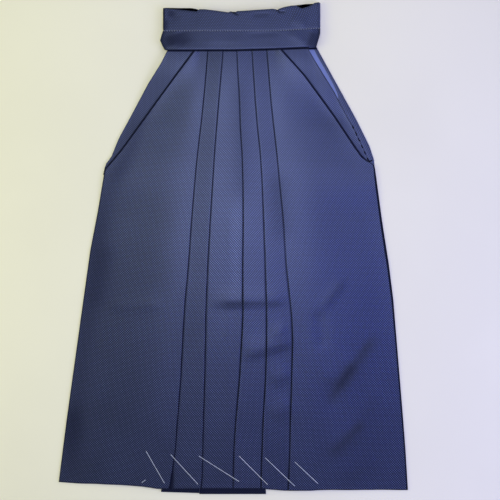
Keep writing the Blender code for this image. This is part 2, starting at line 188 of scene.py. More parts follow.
SIDE_HEIGHTS = named(Height,
    (-36, 11.75), (10, 11.75), (150, 2.7), (262, 2.7), (340, 0.0),
    (907, 0.0),
)
CENTRE_HEIGHTS = named(Height,
    (-36, 11.75), (10, 11.75), (190, 5.4), (907, 5.4),
)
# How far the finished legs puff up over the solids' level, which leaves room for their creases
LEG_LIFT = named(Height, (10, 0.0), (190, 1.6), (907, 1.6))
# Step between the pressed layers of the long pleats
PLEAT_STEP = 0.62

BACK_FOLD_LINES = named(BackFolds,
    (-20, -60.0, -20.0, 40.0),
    (LONGEST_HEM_DROP, -149.8, -70.3, 67.6),
)
OPENING_HEM_WIDTHS = named(Width, (-7, 6.8), (13, 8.2), (40, 7.2), (70, 7.2),
                           (88, 9.0), (98, 11.5), (108, 18.5), (190, 18.5),
                           (230, 12.0))
OPENING_HEM_TOP = -7.0
OPENING_HEM_END = 230.0
HEM_ALLOWANCE = 45.0

GUSSET_TOP = 430.0
GUSSET_HEM = 900.0
GUSSET_HALF_WIDTHS = named(Width, (GUSSET_TOP, 40.0), (GUSSET_HEM, 62.0))
GUSSET_HEIGHT = 3 * LEVEL

# The front band's edges sag a little between its ends
BAND_EDGES = named(BandEdge,
    (-150.0, -38.9, 1.4), (-60.0, -38.6, 1.2), (3.0, -38.4, 1.0),
    (75.0, -38.4, -0.9), (117.0, -40.4, -2.8), (158.0, -43.0, -4.3),
    (180.0, -44.0, -4.8),
)
BAND_CLOTH = 1.5
BAND_TOP_Z = 16.6
BAND_RETURN_Z = 10.6
BAND_RETURN_GAP = 4.0
BAND_ENDS = named(BandEnds,
    (0.0, -144.6, 179.4), (0.28, -148.5, 179.4), (0.5, -150.8, 177.0),
    (0.75, -146.6, 174.0), (1.0, -141.5, 171.1),
)
FRONT_TIES_X = (-138.0, 168.0)
FRONT_TIES_Z = (4.05, 9.45)
FRONT_TIES_RUNS = 3
FRONT_TIES_BAND_SHARES = (0.04, 0.96)
BACK_TIES_Z = (2.7, 16.0)
BACK_TIES_RUNS = 6
BACK_TIES_SETBACKS = (0.6, 1.6, 0.0, 1.2, 0.4, 0.0)
TIE_CLOTH = 1.4
# Top edge of the waist, and how far the folded ties lie back from it
WAIST_EDGE = named(WaistEdge,
    (-144.6, -87.7, 2.2), (-133.0, -87.5, 3.9), (-121.0, -87.2, 5.0),
    (-108.0, -87.0, 5.8), (-96.0, -87.1, 7.2), (-88.0, -87.2, 8.2),
    (-77.3, -85.5, 7.5), (-71.8, -83.4, 5.6), (-70.6, -83.0, 0.4),
    (-59.7, -82.8, 0.4), (-44.0, -81.1, 0.4), (-27.6, -79.0, 0.4),
    (-10.0, -76.4, 0.4), (-4.0, -79.2, 0.8), (-2.0, -79.4, 3.2),
    (4.0, -79.2, 3.6), (7.5, -79.2, 0.6), (22.7, -79.8, 0.4),
    (63.0, -82.6, 0.4), (81.9, -83.8, 0.4), (87.0, -82.9, 0.4),
    (91.0, -83.4, 2.4), (94.0, -83.9, 0.6), (104.8, -87.4, 0.4),
    (121.4, -90.4, 0.4), (129.0, -93.0, 2.4), (136.0, -93.6, 7.0),
    (142.1, -94.4, 10.2), (148.3, -95.3, 9.2), (154.5, -95.7, 7.8),
    (160.7, -95.8, 5.0), (166.9, -96.0, 0.8), (179.4, TOP_EDGE_DROP, 0.0),
)
BACK_BAND_X = (-142.0, 176.0)
BACK_BAND_Z = (0.0, 2.35)
# How dark the shadow painted over the back band's upper layer is
BACK_BAND_SHADE = 0.93

# Creases of the legs, up where the height is positive, with shade painted along them; some
# have no height and are only painted shade, or a painted highlight where the shade is negative
LEG_CREASES_AND_PAINTED_SHADE = named(Crease,
    (110, 520, -44, 524, 26, 6, 0.9, 0.06),
    (108, 526, -30, 526, 4, 4, 0.0, 0.2),
    (34, 523, -20, 525, 18, 6, 0.5, 0.1),
    (-150, 530, -256, 532, 14, 6, 0.5),
    (228, 480, 188, 532, 14, 6, 0.6, 0.16),
    (176, 540, 186, 618, 14, 14, -0.7, 0.06),
    (206, 684, 201, 746, 12, 12, -0.5, 0.08),
    (258, 636, 198, 696, 36, 14, 0.8),
    (294, 588, 196, 728, 9, 16, 0.0, 0.36),
    (244, 646, 208, 696, 13, 20, 0.0, 0.2),
    (262, 786, 202, 838, 34, 14, 0.7),
    (268, 772, 200, 840, 12, 14, 0.0, 0.42),
    (292, 710, 258, 788, 12, 16, 0.2, 0.16),
    (300, 850, 220, 884, 24, 14, 0.4, 0.1),
    (-262, 240, -350, 900, 30, 36, 0.0, 0.4),
    (-252, 400, -270, 540, 30, 30, 0.0, 0.16),
    (-330, 730, -322, 920, 40, 40, 0.0, 0.22),
    (-92, 4, -142, 56, 20, 20, 0.0, 0.16),
    (-150, 60, -250, 285, 22, 22, 0.0, 0.25),
    (-108, 100, -160, 190, 26, 24, 0.0, -0.5),
    (128, 100, 172, 190, 24, 26, 0.0, -0.22),
    (14, 40, 16, 330, 24, 24, 0.0, 0.16),
    (92, 250, 100, 400, 30, 30, 0.0, 0.18),
    (-112, 876, 20, 884, 26, 20, 0.0, 0.12),
    (122, 604, 26, 633, 26, 7, 1.1, 0.1),
    (108, 572, 84, 590, 14, 9, 0.6),
    (116, 668, 82, 686, 22, 10, 0.8, 0.06),
    (118, 732, 84, 762, 24, 14, 0.9, 0.12),
    (-10.5, 262, -10.5, 780, 1.6, 1.6, 0.25, 0.12),
    (6, 316, 6, 500, 12, 10, 0.0, -0.5),
)
# Creases of the folded ties and the band, with the shade painted along them
TIE_CREASES_AND_PAINTED_SHADE = named(Crease,
    (-3, -76.6, 10.5, -70.6, 1.5, 1.5, -0.8, 0.95),
    (90, -82, 95, -76.2, 1.5, 1.5, -0.8, 0.9),
    (107, -76.9, 94, -76.3, 1.5, 1.5, -0.6, 0.7),
    (74, -72.6, 40, -70.4, 4.5, 4.5, -0.3, 0.26),
    (-126, -80, -130, -66, 9, 9, -0.3, 0.3),
    (-118, -60, -128, -76, 14, 14, -0.4, 0.0),
    (-122, -88, -122, -38, 40, 45, 0.0, 0.23),
    (-139, -62, -141, -40, 6, 6, 0.0, 0.35),
    (150, -50, 120, -62, 16, 9, 0.5),
)
BAND_CREASES_AND_PAINTED_SHADE = named(Crease,
    (-112, -34, -100, -8, 16, 20, -0.5, 0.26),
    (-134, -30, -128, -6, 20, 16, 0.0, 0.4),
    (20, -18, -60, -20, 9, 9, 0.25, 0.06),
    (-100, -40, -100, 2, 60, 62, 0.0, 0.24),
    (150, -10, 118, -34, 12, 9, 0.5),
    (168, -36, 158, -4, 11, 11, 0.0, 0.5),
    (96, -34, 30, -30, 6, 5, -0.3),
)
# White basting stitches across the hem
BASTING = named(Thread,
    (-189, 894, -181, 888), (-180, 829, -142, 895), (-129, 836, -73, 897),
    (-71, 839, 12, 891.5), (12, 839, 71, 898), (66, 842.5, 127, 901),
    (127, 851, 175, 896),
)
# Where the dark stitches of the right opening's edge start and end
EDGE_STITCH_DROPS = (160.0, 226.0)
EDGE_STITCH_INSET = 1.2
# The bar of stitches that closes the right opening's lower end
OPENING_BAR = Thread(283.5, 229.5, 289.0, 228.5)

NOISE_ACROSS = 80.0
NOISE_DOWN = 150.0
BAND_SHARES = (0.0, 0.02, 0.06, 0.12, 0.2, 0.3, 0.4, 0.5, 0.6, 0.7, 0.8, 0.88, 0.94, 0.98, 1.0)
BAND_COLUMNS = 72
BAND_END_FALL = 2.0
# Shade painted on the band's folded ends
BAND_END_SHADE = 0.6
PICK_SHARE = 0.025
TIE_SHARES = (0.0, 0.025, 0.055, 0.085, 0.12, 0.155, 0.19, 0.23, 0.27, 0.32, 0.4, 0.5, 0.6, 0.7,
              0.8, 0.88, 0.92, 0.96, 1.0)
# Shade painted on the ties' hidden folds, at the top run's ends, and along its lower edge beside the
# band
TIE_FOLD_SHADE = 0.85
TIE_END_SHADE = 0.6
TIE_EDGE_SHADE = 0.12
TIE_TUCK = 2.4
HIDDEN_TIE_COLUMNS = 48

# The dots' mean strength, and how clear they are at the waist, where fainter dots paint in the light
# washing them out
DOT_MEAN = 0.115
CLEAR_WEAVE_AT_TOP = 0.5
CLEAR_WEAVE_FROM = (-0.05, 0.35)
# Ground, dots and folds of the cloth deep between layers, with its shadow painted in
SHADOW_COLOURS = ((0.0004, 0.0006, 0.002), (0.002, 0.0025, 0.007), (0.0, 0.0, 0.0))

VIEW_CENTRE = (0.0345, -0.0033)
VIEW_PLANE = 0.008
SENSOR = 36.0
FLOOR_SIZE = 24.0
FLOOR_DEPTH = 0.0003
# Each light's place, target, size, power and colour
LIGHTS = {
    "key": ((0.04, 0.21, 2.6), (0.04, 0.16, 0.0), 0.45, 18.9, (1.0, 0.98, 1.0)),
    "warm_top": ((-0.45, 0.3, 2.6), (-0.25, 0.1, 0.0), 0.5, 3.0, (1.0, 0.95, 0.1)),
    "cool_top": ((0.6, -0.15, 2.6), (0.3, -0.1, 0.0), 0.6, 7.5, (0.08, 0.12, 1.0)),
    "warm_side": ((-1.5, 0.1, 1.2), (-0.3, 0.0, 0.0), 1.3, 10.5, (1.0, 1.0, 0.25)),
    "cool_side": ((1.5, -0.4, 1.2), (0.3, -0.2, 0.0), 1.3, 14.0, (0.57, 0.58, 1.0)),
    "cool_waist": ((0.4, 0.95, 2.6), (0.12, 0.45, 0.0), 0.5, 2.4, (0.3, 0.34, 1.0)),
    "head": ((0.1, 1.2, 1.0), (0.05, 0.6, 0.0), 0.8, 2.3, (1.0, 1.0, 0.85)),
    "foot": ((0.4, -2.2, 1.6), (0.1, -0.1, 0.0), 1.4, 8.0, (1.0, 1.0, 0.95)),
}


class HakamaCloth(bpy.types.PropertyGroup):
    thickness: FloatProperty(
        name="Cloth thickness", description="Thickness of one layer of the finished cloth",
        default=0.0005, min=0.0003, max=0.0006, unit="LENGTH")
    row_spacing: FloatProperty(
        name="Row spacing", description="Distance between the rows of points down a panel",
        default=0.0078, min=0.004, max=0.03, unit="LENGTH")
    unevenness: FloatProperty(
        name="Unevenness", description="Height of the soft waves that cover the legs",
        default=0.0003, min=0.0, max=0.001, unit="LENGTH")
    dot_pitch: FloatProperty(
        name="Dot pitch", description="Distance between rows of the weave's small dots",
        default=0.005, min=0.002, max=0.01, unit="LENGTH")
    navy: FloatVectorProperty(
        name="Navy", description="Colour of the ground of the cloth's face",
        default=(0.0012, 0.0018, 0.007), size=3, min=0.0, max=1.0, subtype="COLOR")
    dots: FloatVectorProperty(
        name="Dots", description="Colour of the dots woven into the face",
        default=(0.12, 0.155, 0.4), size=3, min=0.0, max=1.0, subtype="COLOR")
    # The colour that painted shade darkens the cloth towards, beside folds and wherever shade is
    # painted
    folds: FloatVectorProperty(
        name="Folds", description="Colour of the cloth deep beside a fold",
        default=(0.0003, 0.0003, 0.009), size=3, min=0.0, max=1.0, subtype="COLOR")
    reverse: FloatVectorProperty(
        name="Reverse", description="Colour of the cloth's lighter reverse",
        default=(0.17, 0.22, 0.5), size=3, min=0.0, max=1.0, subtype="COLOR")


class HakamaStitching(bpy.types.PropertyGroup):
    pick_pitch: FloatProperty(
        name="Pick stitch pitch", description="Distance between the band's pick stitches",
        default=0.0052, min=0.002, max=0.02, unit="LENGTH")
    pick_length: FloatProperty(
        name="Pick stitch length", description="Length of one pick stitch",
        default=0.0028, min=0.0005, max=0.01, unit="LENGTH")
    edge_pitch: FloatProperty(
        name="Edge stitch pitch", description="Distance between the opening edge's stitches",
        default=0.0132, min=0.002, max=0.02, unit="LENGTH")
    edge_length: FloatProperty(
        name="Edge stitch length", description="Length of one stitch of the opening's edge",
        default=0.0105, min=0.0005, max=0.02, unit="LENGTH")
    pick_thickness: FloatProperty(
        name="Pick stitch thickness", description="Width of one pick stitch",
        default=0.0015, min=0.0002, max=0.003, unit="LENGTH")
    edge_thickness: FloatProperty(
        name="Edge stitch thickness", description="Width of one stitch of the opening's edge",
        default=0.0028, min=0.0002, max=0.004, unit="LENGTH")
    basting_thickness: FloatProperty(
        name="Basting thickness", description="Width of the white basting thread",
        default=0.0009, min=0.0003, max=0.003, unit="LENGTH")
    seed: IntProperty(
        name="Seed", description="Seed of the stitches' small turns", default=7, min=0)
    pick_colour: FloatVectorProperty(
        name="Pick stitches", description="Colour of the band's pick stitches",
        default=(0.22, 0.25, 0.42), size=3, min=0.0, max=1.0, subtype="COLOR")
    edge_colour: FloatVectorProperty(
        name="Edge stitches", description="Colour of the opening edge's stitches",
        default=(0.002, 0.003, 0.012), size=3, min=0.0, max=1.0, subtype="COLOR")
    basting_colour: FloatVectorProperty(
        name="Basting", description="Colour of the basting thread",
        default=(0.66, 0.74, 0.9), size=3, min=0.0, max=1.0, subtype="COLOR")


class HakamaStage(bpy.types.PropertyGroup):
    # The floor's colours at its two sides carry a painted tint of light: warm at the left, cool at
    # the right
    floor_left: FloatVectorProperty(
        name="Floor left", description="Colour of the pale surface at its left side",
        default=(0.83, 0.83, 0.74), size=3, min=0.0, max=1.0, subtype="COLOR")
    floor_right: FloatVectorProperty(
        name="Floor right", description="Colour of the pale surface at its right side",
        default=(0.82, 0.81, 0.83), size=3, min=0.0, max=1.0, subtype="COLOR")
    camera_height: FloatProperty(
        name="Camera height", description="Height of the camera over the surface",
        default=3.0, min=1.0, max=8.0, unit="LENGTH")
    view_width: FloatProperty(
        name="View width", description="Width of the surface that the picture shows",
        default=1.0325, min=0.5, max=3.0, unit="LENGTH")


def between(low, high, share):
    return low + share * (high - low)


def smooth(share):
    """A share from 0 to 1 that starts and ends gently."""
    share = min(max(share, 0.0), 1.0)
    return share * share * (3 - 2 * share)


def read(table, at, column, ease=False):
    """A table's column at this value of its first column, held past the first and last rows."""
    if at <= table[0][0]:
        return getattr(table[0], column)
    for above, below in zip(table, table[1:]):
        if at <= below[0]:
            share = (at - above[0]) / (below[0] - above[0])
            share = smooth(share) if ease else share
            return between(getattr(above, column), getattr(below, column), share)
    return getattr(table[-1], column)


def down(table, column, hem, share):
    """Where a line down a front panel is at this share of its length: its x and its drop."""
    drop = between(PANEL_TOP, hem, share)
    return read(table, drop, column), drop


def crease_and_shade_sums(creases, x, drop):
    """Height of the creases at a place and the shade painted along them, each fading to its sides
    and its ends.
    """
    height = shade = 0.0
    for crease in creases:
        along_x, along_drop = crease.end_x - crease.x, crease.end_drop - crease.drop
        length = math.hypot(along_x, along_drop)
        off_x, off_drop = x - crease.x, drop - crease.drop
        share = (off_x * along_x + off_drop * along_drop) / length**2
        if not -0.1 < share < 1.1:
            continue
        across = (off_x * along_drop - off_drop * along_x) / length
        reach = across / (crease.below if across > 0 else crease.above)
        if abs(reach) > 3:
            continue
        fade = smooth((share + 0.1) / 0.3) * smooth((1.1 - share) / 0.3) * math.exp(-reach**2)
        height += crease.height * fade
        shade += crease.shade * fade
    return height, shade


def wave_height(x, drop, depth):
    """A gentle unevenness, the same at each run."""
    place = Vector((x / NOISE_ACROSS, drop / NOISE_DOWN, 0.3))
    return depth * noise.noise(place)


def side_level(drop, level):
    """Middle of a layer at the side pleat, where level 0 is the strip."""
    return read(SIDE_HEIGHTS, drop, "z", ease=True) + level * LEVEL + SOLID_CLOTH / 2


def pleat_level(drop, level):
    """Middle of a layer of the front's pleats, where level 0 is the lowest."""
    height = read(CENTRE_HEIGHTS, drop, "z", ease=True) + read(LEG_LIFT, drop, "z", ease=True)
    return height + level * PLEAT_STEP + SOLID_CLOTH / 2


def laid_hem(x, drop):
    """Drop of a place of the front where its hem is drawn up a little."""
    share = smooth((drop - HEM_RISE_START) / (CENTRE_HEM - HEM_RISE_START))
    return drop - share * read(HEM_RISES, x, "z", ease=True)


def under_band(x, drop):
    """How dark the shadow painted on the cloth just below the band is."""
    below = drop - band_drop(x, 1.0)
    return 0.98 * (1 - smooth((below - 2.0) / 2.0)) + 0.12 * (1 - smooth(below / 9.0))


def laid_out(row, edge_x, hem_shade):
    """A row of a front leg with the creases that it lies in, and the painted shade of the band's
    shadow, the hem line and the creases.

    All the layers at one place rise and fall together, and the outer edge stays on the solid's.
    """
    unevenness = bpy.context.scene.hakama_cloth.unevenness / MM
    points = []
    for p in row:
        fade = smooth((p.drop - 20) / 90) * smooth(abs(p.x - edge_x) / 40.0)
        height, shade = crease_and_shade_sums(LEG_CREASES_AND_PAINTED_SHADE, p.x, p.drop)
        lift = fade * (height + wave_height(p.x, p.drop, unevenness))
        dark = max(p.shade, min(under_band(p.x, p.drop), 0.98), hem_shade)
        if dark < 0.5:
            dark = min(dark + shade, 0.95)
        points.append(Point(p.x, laid_hem(p.x, p.drop), p.z + lift, dark))
    return points


def fold(edge_x, drop, side, z_in, z_out, thickness, steps=6, shade=0.0):
    """Points round a fold whose outermost line is at edge_x. side is 1 where it faces right."""
    middle = (z_in + z_out) / 2
    radius = (z_out - z_in) / 2
    centre_x = edge_x - side * (abs(radius) + thickness / 2)
    points = []
    for step in range(steps + 1):
        turn = math.pi * step / steps
        x = centre_x + side * abs(radius) * math.sin(turn)
        points.append(Point(x, drop, middle - radius * math.cos(turn), shade))
    return points


def cloth_shell(name, rows, thickness, face, reverse, across="x", straight=False):
    """A closed shell of cloth round rows of points, each row from the same edge to edge.

    The face is the side to the left of a row's direction, seen along the cloth. Its map holds
    metres: along a row from its middle, and down the cloth. Where the cloth's threads run
    straight, its middle is mapped to where it lies.
    """
    place = np.array([[(p.x, p.drop, p.z) for p in row] for row in rows])
    shade = np.array([[p.shade for p in row] for row in rows])
    count_rows, count = shade.shape
    side = 0 if across == "x" else 1
    run = np.diff(place[:, :, [side, 2]], axis=1)
    length = np.maximum(np.linalg.norm(run, axis=2, keepdims=True), 1e-9)
    run = run / length
    tangent = np.zeros((count_rows, count, 2))
    tangent[:, :-1] += run
    tangent[:, 1:] += run
    tangent /= np.maximum(np.linalg.norm(tangent, axis=2, keepdims=True), 1e-9)
    half = np.full((count_rows, 1, 1), thickness / 2)
    half[0] *= 0.5
    half[-1] *= 0.5
    off = np.zeros_like(place)
    off[:, :, side] = -tangent[:, :, 1]
    off[:, :, 2] = tangent[:, :, 0]
    ring = np.concatenate([place + off * half, (place - off * half)[:, ::-1]], axis=1)
    steps = np.linalg.norm(np.diff(place, axis=1), axis=2)
    along = np.concatenate([np.zeros((count_rows, 1)), np.cumsum(steps, axis=1)], axis=1)
    along -= along[:, count // 2][:, None]
    mapped = along + place[:, count // 2, side][:, None] if straight else along
    travel = np.linalg.norm(np.diff(place[:, count // 2], axis=0), axis=1)
    lengthwise = np.concatenate([[0.0], np.cumsum(travel)])
    lengthwise = np.repeat(lengthwise[:, None], count, axis=1)
    around = 2 * count
    u = np.concatenate([mapped, mapped[:, ::-1]], axis=1)
    v = np.concatenate([lengthwise, lengthwise[:, ::-1]], axis=1)
    dark = np.concatenate([shade, shade[:, ::-1]], axis=1)
    flip = -1.0 if across == "x" else 1.0
    points = np.empty((count_rows * around, 3))
    points[:, 0] = ring[:, :, 0].ravel() * MM
    points[:, 1] = (MIDDLE_DROP - ring[:, :, 1].ravel()) * MM
    points[:, 2] = ring[:, :, 2].ravel() * MM
    faces = []
    slots = []
    for row in range(count_rows - 1):
        start, after = row * around, (row + 1) * around
        for index in range(around):
            following = (index + 1) % around
            quad = (start + index, start + following, after + following, after + index)
            faces.append(quad if flip > 0 else quad[::-1])
            slots.append(1 if index >= count else 0)
    for row, outward in ((0, 1), (count_rows - 1, -1)):
        start = row * around
        for index in range(count - 1):
            low = around - 1 - index
            quad = (start + index, start + low, start + low - 1, start + index + 1)
            faces.append(quad if outward * flip > 0 else quad[::-1])
            slots.append(0)
    mesh = bpy.data.meshes.new(name)
    mesh.from_pydata(points.tolist(), [], faces)
    mesh.materials.append(face)
    mesh.materials.append(reverse)
    mesh.polygons.foreach_set("material_index", slots)
    corner = np.empty(len(mesh.loops), dtype=np.int32)
    mesh.loops.foreach_get("vertex_index", corner)
    cloth_map = mesh.uv_layers.new(name="cloth")
    flat = np.stack([u.ravel()[corner] * MM, v.ravel()[corner] * MM], axis=1)
    cloth_map.data.foreach_set("uv", flat.ravel())
    attribute = mesh.attributes.new("shade", "FLOAT", "POINT")
    attribute.data.foreach_set("value", dark.ravel())
    mesh.shade_smooth()
    mesh.set_sharp_from_angle(angle=math.radians(60))
    mesh.update()
    piece = bpy.data.objects.new(name, mesh)
    bpy.context.scene.collection.objects.link(piece)
    widest = (along[:, -1] - along[:, 0]).max() * MM
    tall = lengthwise[-1, 0] * MM
    mean = (along[:, -1] - along[:, 0]).mean() * MM
    if across == "x":
        piece["flat"] = (widest, tall)
    else:
        piece["flat"] = (tall, widest)
    piece["flat_area"] = max(mean * tall, 0.31 * widest * tall)
    return piece


def place_cloth(piece, node):
    """Drops a finished cloth piece's flat sizes, hides the solid that it replaces and attaches it to
    the body.
    """
    del piece["flat"], piece["flat_area"]
    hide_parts(node)
    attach(piece, BODY)


class Shader:
    """The nodes of one material, with short calls that add and link them."""

    def __init__(self, name):
        self.material = bpy.data.materials.new(name)
        self.material.use_nodes = True
        self.tree = self.material.node_tree
        self.surface = self.tree.nodes["Principled BSDF"]

    def node(self, kind, **settings):
        made = self.tree.nodes.new(kind)
        for name, value in settings.items():
            setattr(made, name, value)
        return made

    def link(self, source, target):
        self.tree.links.new(source, target)

    def feed(self, target, value):
        if isinstance(value, bpy.types.NodeSocket):
            self.link(value, target)
        else:
            target.default_value = value

    def math(self, operation, first, second=0.0):
        made = self.node("ShaderNodeMath", operation=operation)
        self.feed(made.inputs[0], first)
        self.feed(made.inputs[1], second)
        return made.outputs[0]

    def spread(self, value, low, high, to_low=0.0, to_high=1.0):
        made = self.node("ShaderNodeMapRange", interpolation_type="SMOOTHSTEP")
        for index, entry in enumerate((value, low, high, to_low, to_high)):
            self.feed(made.inputs[index], entry)
        return made.outputs[0]

    def mix(self, share, first, second):
        made = self.node("ShaderNodeMix", data_type="RGBA", clamp_factor=False)
        self.feed(made.inputs["Factor"], share)
        self.feed(made.inputs["A"], first)
        self.feed(made.inputs["B"], second)
        return made.outputs["Result"]

    def noise(self, vector, scale, detail=2.0):
        made = self.node("ShaderNodeTexNoise")
        self.link(vector, made.inputs["Vector"])
        made.inputs["Scale"].default_value = scale
        made.inputs["Detail"].default_value = detail
        return made.outputs["Fac"]

    def part(self, vector, axis):
        made = self.node("ShaderNodeSeparateXYZ")
        self.link(vector, made.inputs[0])
        return made.outputs[axis]

    def scaled(self, colour, value):
        made = self.node("ShaderNodeVectorMath", operation="SCALE")
        self.feed(made.inputs[0], colour)
        self.link(value, made.inputs["Scale"])
        return made.outputs[0]

    def paint(self, colour):
        self.link(colour, self.surface.inputs["Base Color"])

    def bump(self, height, strength, distance):
        made = self.node("ShaderNodeBump")
        self.link(height, made.inputs["Height"])
        made.inputs["Strength"].default_value = strength
        made.inputs["Distance"].default_value = distance
        self.link(made.outputs["Normal"], self.surface.inputs["Normal"])

    def set(self, **values):
        for name, value in values.items():
            self.surface.inputs[name.replace("_", " ")].default_value = value


def rgba(colour):
    return (*colour, 1.0)


def dotted_cloth(name, ground, dots, deep, pitch, specular=0.66):
    """Polyester cloth woven with rows of small dots, each row half a step from the last."""
    shader = Shader(name)
    cloth_map = shader.node("ShaderNodeUVMap", uv_map="cloth").outputs["UV"]
    turns = 2 * math.pi / pitch
    waves = [shader.math("COSINE", shader.math("MULTIPLY", shader.part(cloth_map, axis), turns))
             for axis in "XY"]
    woven = shader.spread(shader.math("MULTIPLY", *waves), 0.25, 1.0)
    place = shader.node("ShaderNodeTexCoord").outputs["Object"]
    # The dots are painted fainter towards the waist, as the highlight washes them out there
    clear = shader.spread(shader.part(place, "Y"), *CLEAR_WEAVE_FROM, 1.0, CLEAR_WEAVE_AT_TOP)
    dot = shader.math("ADD", DOT_MEAN, shader.math(
        "MULTIPLY", clear, shader.math("SUBTRACT", woven, DOT_MEAN)))
    broad = shader.noise(cloth_map, 9.0, 3.0)
    fleck = shader.noise(cloth_map, 900.0, 2.0)
    colour = shader.mix(dot, rgba(ground), rgba(dots))
    tone = shader.spread(broad, 0.3, 0.7, 0.9, 1.1)
    grain = shader.spread(fleck, 0.2, 0.8, 0.86, 1.14)
    # The shade attribute paints shade into the colour by mixing it towards the deep colour; where it
    # is negative it paints a highlight
    shade = shader.node("ShaderNodeAttribute", attribute_name="shade").outputs["Fac"]
    uneven = shader.scaled(colour, shader.math("MULTIPLY", tone, grain))
    shader.paint(shader.mix(shade, uneven, rgba(deep)))
    rough = shader.math("ADD", shader.spread(dot, 0.0, 1.0, 0.35, 0.48),
                        shader.spread(shade, 0.0, 1.0, 0.0, 0.62))
    shader.link(rough, shader.surface.inputs["Roughness"])
    height = shader.math("ADD", dot, shader.math("MULTIPLY", fleck, 0.6))
    shader.bump(height, 0.25, 0.0002)
    shader.set(Specular_IOR_Level=specular, Specular_Tint=(0.37, 0.46, 0.92, 1.0),
               Sheen_Weight=0.06, Sheen_Roughness=0.45, Sheen_Tint=(0.6, 0.7, 1.0, 1.0))
    return shader.material


def thread_material(name, colour, sheen=0.3):
    """Twisted thread, with fine diagonal ply marks."""
    shader = Shader(name)
    place = shader.node("ShaderNodeTexCoord").outputs["Object"]
    ply = shader.noise(place, 1500.0, 1.0)
    tone = shader.spread(ply, 0.3, 0.7, 0.75, 1.1)
    shader.paint(shader.scaled(colour, tone))
    shader.bump(ply, 0.3, 0.0002)
    shader.set(Roughness=0.6, Specular_IOR_Level=sheen, Sheen_Weight=sheen,
               Sheen_Roughness=0.5)
    return shader.material


def floor_material(left, right):
    """A pale surface, with a warm tint of light painted at its left side and a cool one at its
    right.
    """
    shader = Shader("pale_surface")
    place = shader.node("ShaderNodeTexCoord").outputs["Object"]
    tint = shader.mix(shader.spread(shader.part(place, "X"), -0.55, 0.55), rgba(left), rgba(right))
    cloud = shader.spread(shader.noise(place, 3.0, 3.0), 0.35, 0.65, 1.0, 0.975)
    shader.paint(shader.scaled(tint, cloud))
    shader.set(Roughness=0.85, Specular_IOR_Level=0.2)
    return shader.material


_cloths = {}


def cloth(side):
    """The cloth's face or reverse, or the face deep between layers with its shadow painted in:
    nearly black, not shiny.
    """
    if not _cloths:
        look = bpy.context.scene.hakama_cloth
        pitch = look.dot_pitch
        dim = tuple(0.72 * part for part in look.reverse)
        _cloths["face"] = dotted_cloth("navy_face", look.navy, look.dots, look.folds, pitch)
        _cloths["reverse"] = dotted_cloth("blue_reverse", look.reverse, dim, look.folds, pitch)
        _cloths["shadow"] = dotted_cloth("navy_in_shadow", *SHADOW_COLOURS, pitch, 0.05)
    return _cloths[side]


def layer_thickness():
    return bpy.context.scene.hakama_cloth.thickness / MM


def row_shares(top=PANEL_TOP, hem=CENTRE_HEM):
    """Where the rows of points down a panel stand, closer below the band and at the hem."""
    spacing = bpy.context.scene.hakama_cloth.row_spacing / MM
    length = hem - top
    count = round(length / spacing)
    shares = [row / count for row in range(count + 1)]
    shares += [(drop - top) / length for drop in BAND_SHADOW_DROPS]
    shares += [1 - inset / length for inset in HEM_INSETS]
    kept = [0.0]
    for share in sorted(shares):
        if (share - kept[-1]) * length > 0.4:
            kept.append(share)
    return kept


def hem_line(share):
    """Shade of the narrow dark line painted along a front panel's hem."""
    above = (1 - share) * (CENTRE_HEM - PANEL_TOP)
    return HEM_LINE_SHADE * (1 - smooth((above - HEM_LINE_WIDTH) / 0.8))


def turned_width(drop):
    """How far a main panel's outer edge is turned under."""
    return min(TURNED_EDGE + TURNED_EDGE_GROWTH * max(drop, 0.0), TURNED_EDGE_MOST)


def pleat_depth(share):
    return between(PLEAT_DEPTH_AT_BAND, PLEAT_DEPTH_AT_HEM, share)


def side_name(side):
    return "right" if side > 0 else "left"


def outer_edge(edge_x, drop, side):
    """A main panel's outer edge from its hidden end: turned under, then folded to the top."""
    under, top = side_level(drop, 1), side_level(drop, 2)
    width = turned_width(drop)
    # The turned-under part is painted fully dark, and a dark line of shade is painted round the fold
    points = [Point(edge_x - side * width, drop, under, 1.0),
              Point(edge_x - side * width / 2, drop, under, 1.0)]
    shade = read(EDGE_SHADES, drop, side_name(side))
    return points + fold(edge_x, drop, side, under, top, layer_thickness(), shade=shade)


def knife_pleat(line_x, drop, side, depth, sink, down_from_top):
    """A pleat's fold on top and its hidden fold, from the panel on top or to it.

    The hidden fold lies lower by the sink, where the panel over it slopes.
    """
    low, middle, high = (pleat_level(drop, level) for level in range(3))
    thickness = layer_thickness()
    visible = fold(line_x, drop, side, middle, high, thickness)
    # The hidden fold is painted fully dark, as shade
    hidden = fold(line_x - side * depth, drop, -side, low - sink, middle - sink, thickness,
                  shade=1.0)
    points = hidden + visible
    return points[::-1] if down_from_top else points


def line_width(drop):
    """How much wider than its offsets a pleat's dip and its painted dark line are."""
    return 0.9 + 1.0 * smooth((drop - 230) / 370)


def crevice(line, line_x, drop, side, widening=1.0):
    """The lower panel beside a pleat's edge: a narrow dip, with shade painted dark at its foot and
    soft beside it.
    """
    points = []
    darkest = read(LINE_SHADES, drop, line)
    for offset in CREVICE_OFFSETS:
        open_share = smooth((offset - 0.5) / 1.9)
        z = pleat_level(drop, 0) - CREVICE_DIP * (1 - open_share)
        x = line_x + side * offset * widening * line_width(drop)
        soft = CREVICE_SOFT_SHADE * (1 - smooth((offset - 1.2) / 2.8))
        points.append(Point(x, drop, z, max(darkest * (1 - open_share), soft)))
    return points


def climb(start, end_x, end_drop, count, ease=False):
    """From a point up to the pleats' top level, without the point itself."""
    points = []
    for step in range(1, count + 1):
        share = step / count
        drop = between(start.drop, end_drop, share)
        rise = smooth(share) if ease else share
        z = between(start.z, pleat_level(drop, 2), rise)
        points.append(Point(between(start.x, end_x, share), drop, z, 0.0))
    return points


